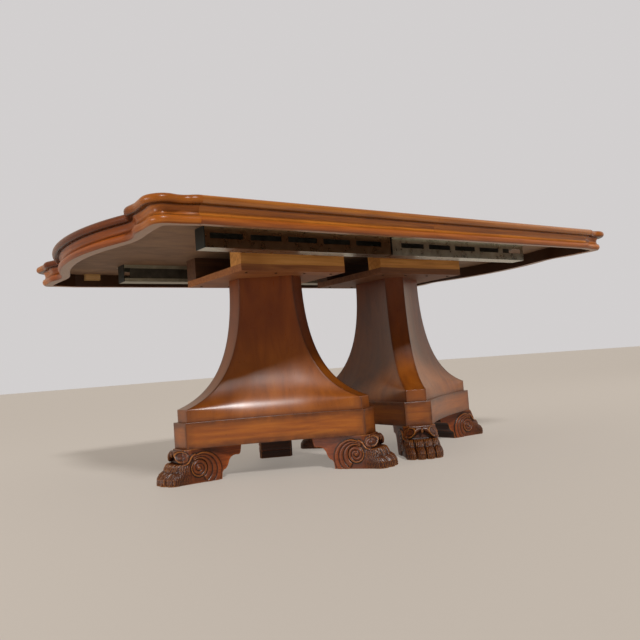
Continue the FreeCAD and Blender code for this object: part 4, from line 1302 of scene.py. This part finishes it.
# %% Stand the feet
for side, sense in (("left", -1), ("right", 1)):
    for place, thirds in (("outer", 0), ("inner_front", -sense), ("inner_rear", sense)):
        stand(f"{side}_{place}_carved_foot", foot_mesh, carved, side, f"{side}_{place}_foot",
              math.radians(360 / SIDES * thirds))
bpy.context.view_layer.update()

# %% [markdown]
# ## Floor
# A plain, pale, matt floor keeps the table's shadow. Part of its colour is given off as light that
# only the camera and reflections see, so that the floor looks even and lights nothing.

# %% Pale floor
FLOOR_HALF = 40.0
FLOOR_CORNERS = ((-1, -1), (1, -1), (1, 1), (-1, 1))
FLOOR_TONE = colour("#C9C0B6")
FLOOR_GLOW, GLOW_SHARE = 0.95, 0.4


def seen_rays(tree):
    """Light Path outputs: what the camera sees, and what mirrors and glass show it."""
    rays = node(tree, "ShaderNodeLightPath").outputs
    mirrored = node(tree, "ShaderNodeMath", {
        0: rays["Is Glossy Ray"], 1: rays["Is Transmission Ray"]}, operation="ADD")
    return rays["Is Camera Ray"], mirrored.outputs[0]


floor_material, tree = new_material("pale_matt_floor")
shader = node(tree, "ShaderNodeBsdfPrincipled", {"Base Color": FLOOR_TONE, "Roughness": 0.6})
glow = node(tree, "ShaderNodeEmission", {"Color": FLOOR_TONE, "Strength": FLOOR_GLOW})
direct, mirrored = seen_rays(tree)
seen = node(tree, "ShaderNodeMath", {0: direct, 1: mirrored}, operation="ADD").outputs[0]
share = node(tree, "ShaderNodeMath", {0: seen, 1: GLOW_SHARE}, operation="MULTIPLY").outputs[0]
even = node(tree, "ShaderNodeMixShader", {0: share, 1: shader.outputs[0], 2: glow.outputs[0]})
node(tree, "ShaderNodeOutputMaterial", {"Surface": even.outputs[0]})
floor_mesh = bpy.data.meshes.new("floor")
floor_mesh.from_pydata([(x * FLOOR_HALF, y * FLOOR_HALF, 0) for x, y in FLOOR_CORNERS], [], [(0, 1, 2, 3)])
floor = bpy.data.objects.new("floor", floor_mesh)
bpy.context.scene.collection.objects.link(floor)
dress(floor, floor_material)
print("floor", 2 * FLOOR_HALF, "m wide")

# %% [markdown]
# ## World
# The world lights the shadows and is also the pale background. Polished surfaces see it brighter
# behind the table than in front, and a little warmer than the camera does.

# %% Soft surroundings
WARM_AIR, PALE_BACKGROUND = colour("#D6C8B8"), colour("#D4D1D1")
FILL_LIGHT, BACKGROUND_LIGHT = 0.45, 0.98
FRONT_MIRRORED, BACK_MIRRORED = 0.3, 0.95

world = bpy.data.worlds.new("studio")
bpy.context.scene.world = world
world.use_nodes = True
tree = world.node_tree
tree.nodes.clear()
direct, mirrored = seen_rays(tree)
direction = node(tree, "ShaderNodeTexCoord").outputs["Generated"]
back = node(tree, "ShaderNodeSeparateXYZ", {"Vector": direction}).outputs["Y"]
shown = node(tree, "ShaderNodeMapRange", {
    "Value": back, "From Min": -0.5, "From Max": 0.3, "To Min": FRONT_MIRRORED, "To Max": BACK_MIRRORED})
unseen = node(tree, "ShaderNodeMapRange", {
    "Value": mirrored, "To Min": FILL_LIGHT, "To Max": shown.outputs[0]})
level = node(tree, "ShaderNodeMapRange", {
    "Value": direct, "To Min": unseen.outputs[0], "To Max": BACKGROUND_LIGHT})
tint = node(tree, "ShaderNodeMix", {
    0: direct, MIX_A: WARM_AIR, MIX_B: PALE_BACKGROUND}, data_type="RGBA")
sky = node(tree, "ShaderNodeBackground", {"Color": tint.outputs[MIX_OUT], "Strength": level.outputs[0]})
node(tree, "ShaderNodeOutputWorld", {"Surface": sky.outputs[0]})
print("surroundings light", FILL_LIGHT, "seen as", BACKGROUND_LIGHT)

# %% [markdown]
# ## Lamps
# One key light falls from the front over the edge of the top, so that the columns are half in its
# shadow and the flare glows. A low lamp at the left shows the bowed end, and a large one at the
# right fills the far sides.

# %% Key and fill
def lamp(kind, name, place, aim, power, **settings):
    """A lamp at a place, turned towards its aim."""
    light = bpy.data.lights.new(name, kind)
    light.energy = power
    for key, value in settings.items():
        setattr(light, key, value)
    obj = bpy.data.objects.new(name, light)
    bpy.context.scene.collection.objects.link(obj)
    obj.location = place
    obj.rotation_euler = (Vector(aim) - Vector(place)).to_track_quat("-Z", "Y").to_euler()


lamp("SUN", "front_key", (-0.95, -3.0, 2.6), (0, 0, 0), 2.5, angle=math.radians(9))
lamp("AREA", "left_softbox", (-4.2, 0.1, 0.7), (-0.4, 0, 0.3), 54, size=1.2)
lamp("AREA", "right_softbox", (4.2, -1.6, 2.0), (0.4, 0, 0.3), 25, size=3.6)
print(len(bpy.data.lights), "lamps")

# %% [markdown]
# ## Camera
# The camera stands low at the front left corner, as the photograph was taken, and leans a little,
# so its axes are built from yaw, pitch and roll. Its focal length was measured in pixels of the
# picture, and a lens wants it in millimetres of the sensor.

# %% Low camera
FOCAL_PX, PICTURE_PX, SENSOR_MM = 680.0, 640, 36.0
YAW, PITCH, ROLL = (math.radians(degrees) for degrees in (35.19, 3.76, 4.29))
EYE = Vector((-1.4942, -2.0339, 0.3361))

ahead = Vector((math.sin(YAW) * math.cos(PITCH), math.cos(YAW) * math.cos(PITCH), math.sin(PITCH)))
level_right = Vector((math.cos(YAW), -math.sin(YAW), 0))
level_up = level_right.cross(ahead)
right = level_right * math.cos(ROLL) - level_up * math.sin(ROLL)
up = level_right * math.sin(ROLL) + level_up * math.cos(ROLL)
camera = bpy.data.objects.new("camera", bpy.data.cameras.new("camera"))
bpy.context.scene.collection.objects.link(camera)
camera.data.sensor_width = SENSOR_MM
camera.data.lens = FOCAL_PX / PICTURE_PX * SENSOR_MM
camera.data.clip_start, camera.data.clip_end = 0.02, 200.0
camera.matrix_world = Matrix.Translation(EYE) @ Matrix((right, up, -ahead)).transposed().to_4x4()
bpy.context.scene.camera = camera
bpy.context.scene.view_settings.view_transform = "Standard"
print("camera lens", round(camera.data.lens, 2), "mm")
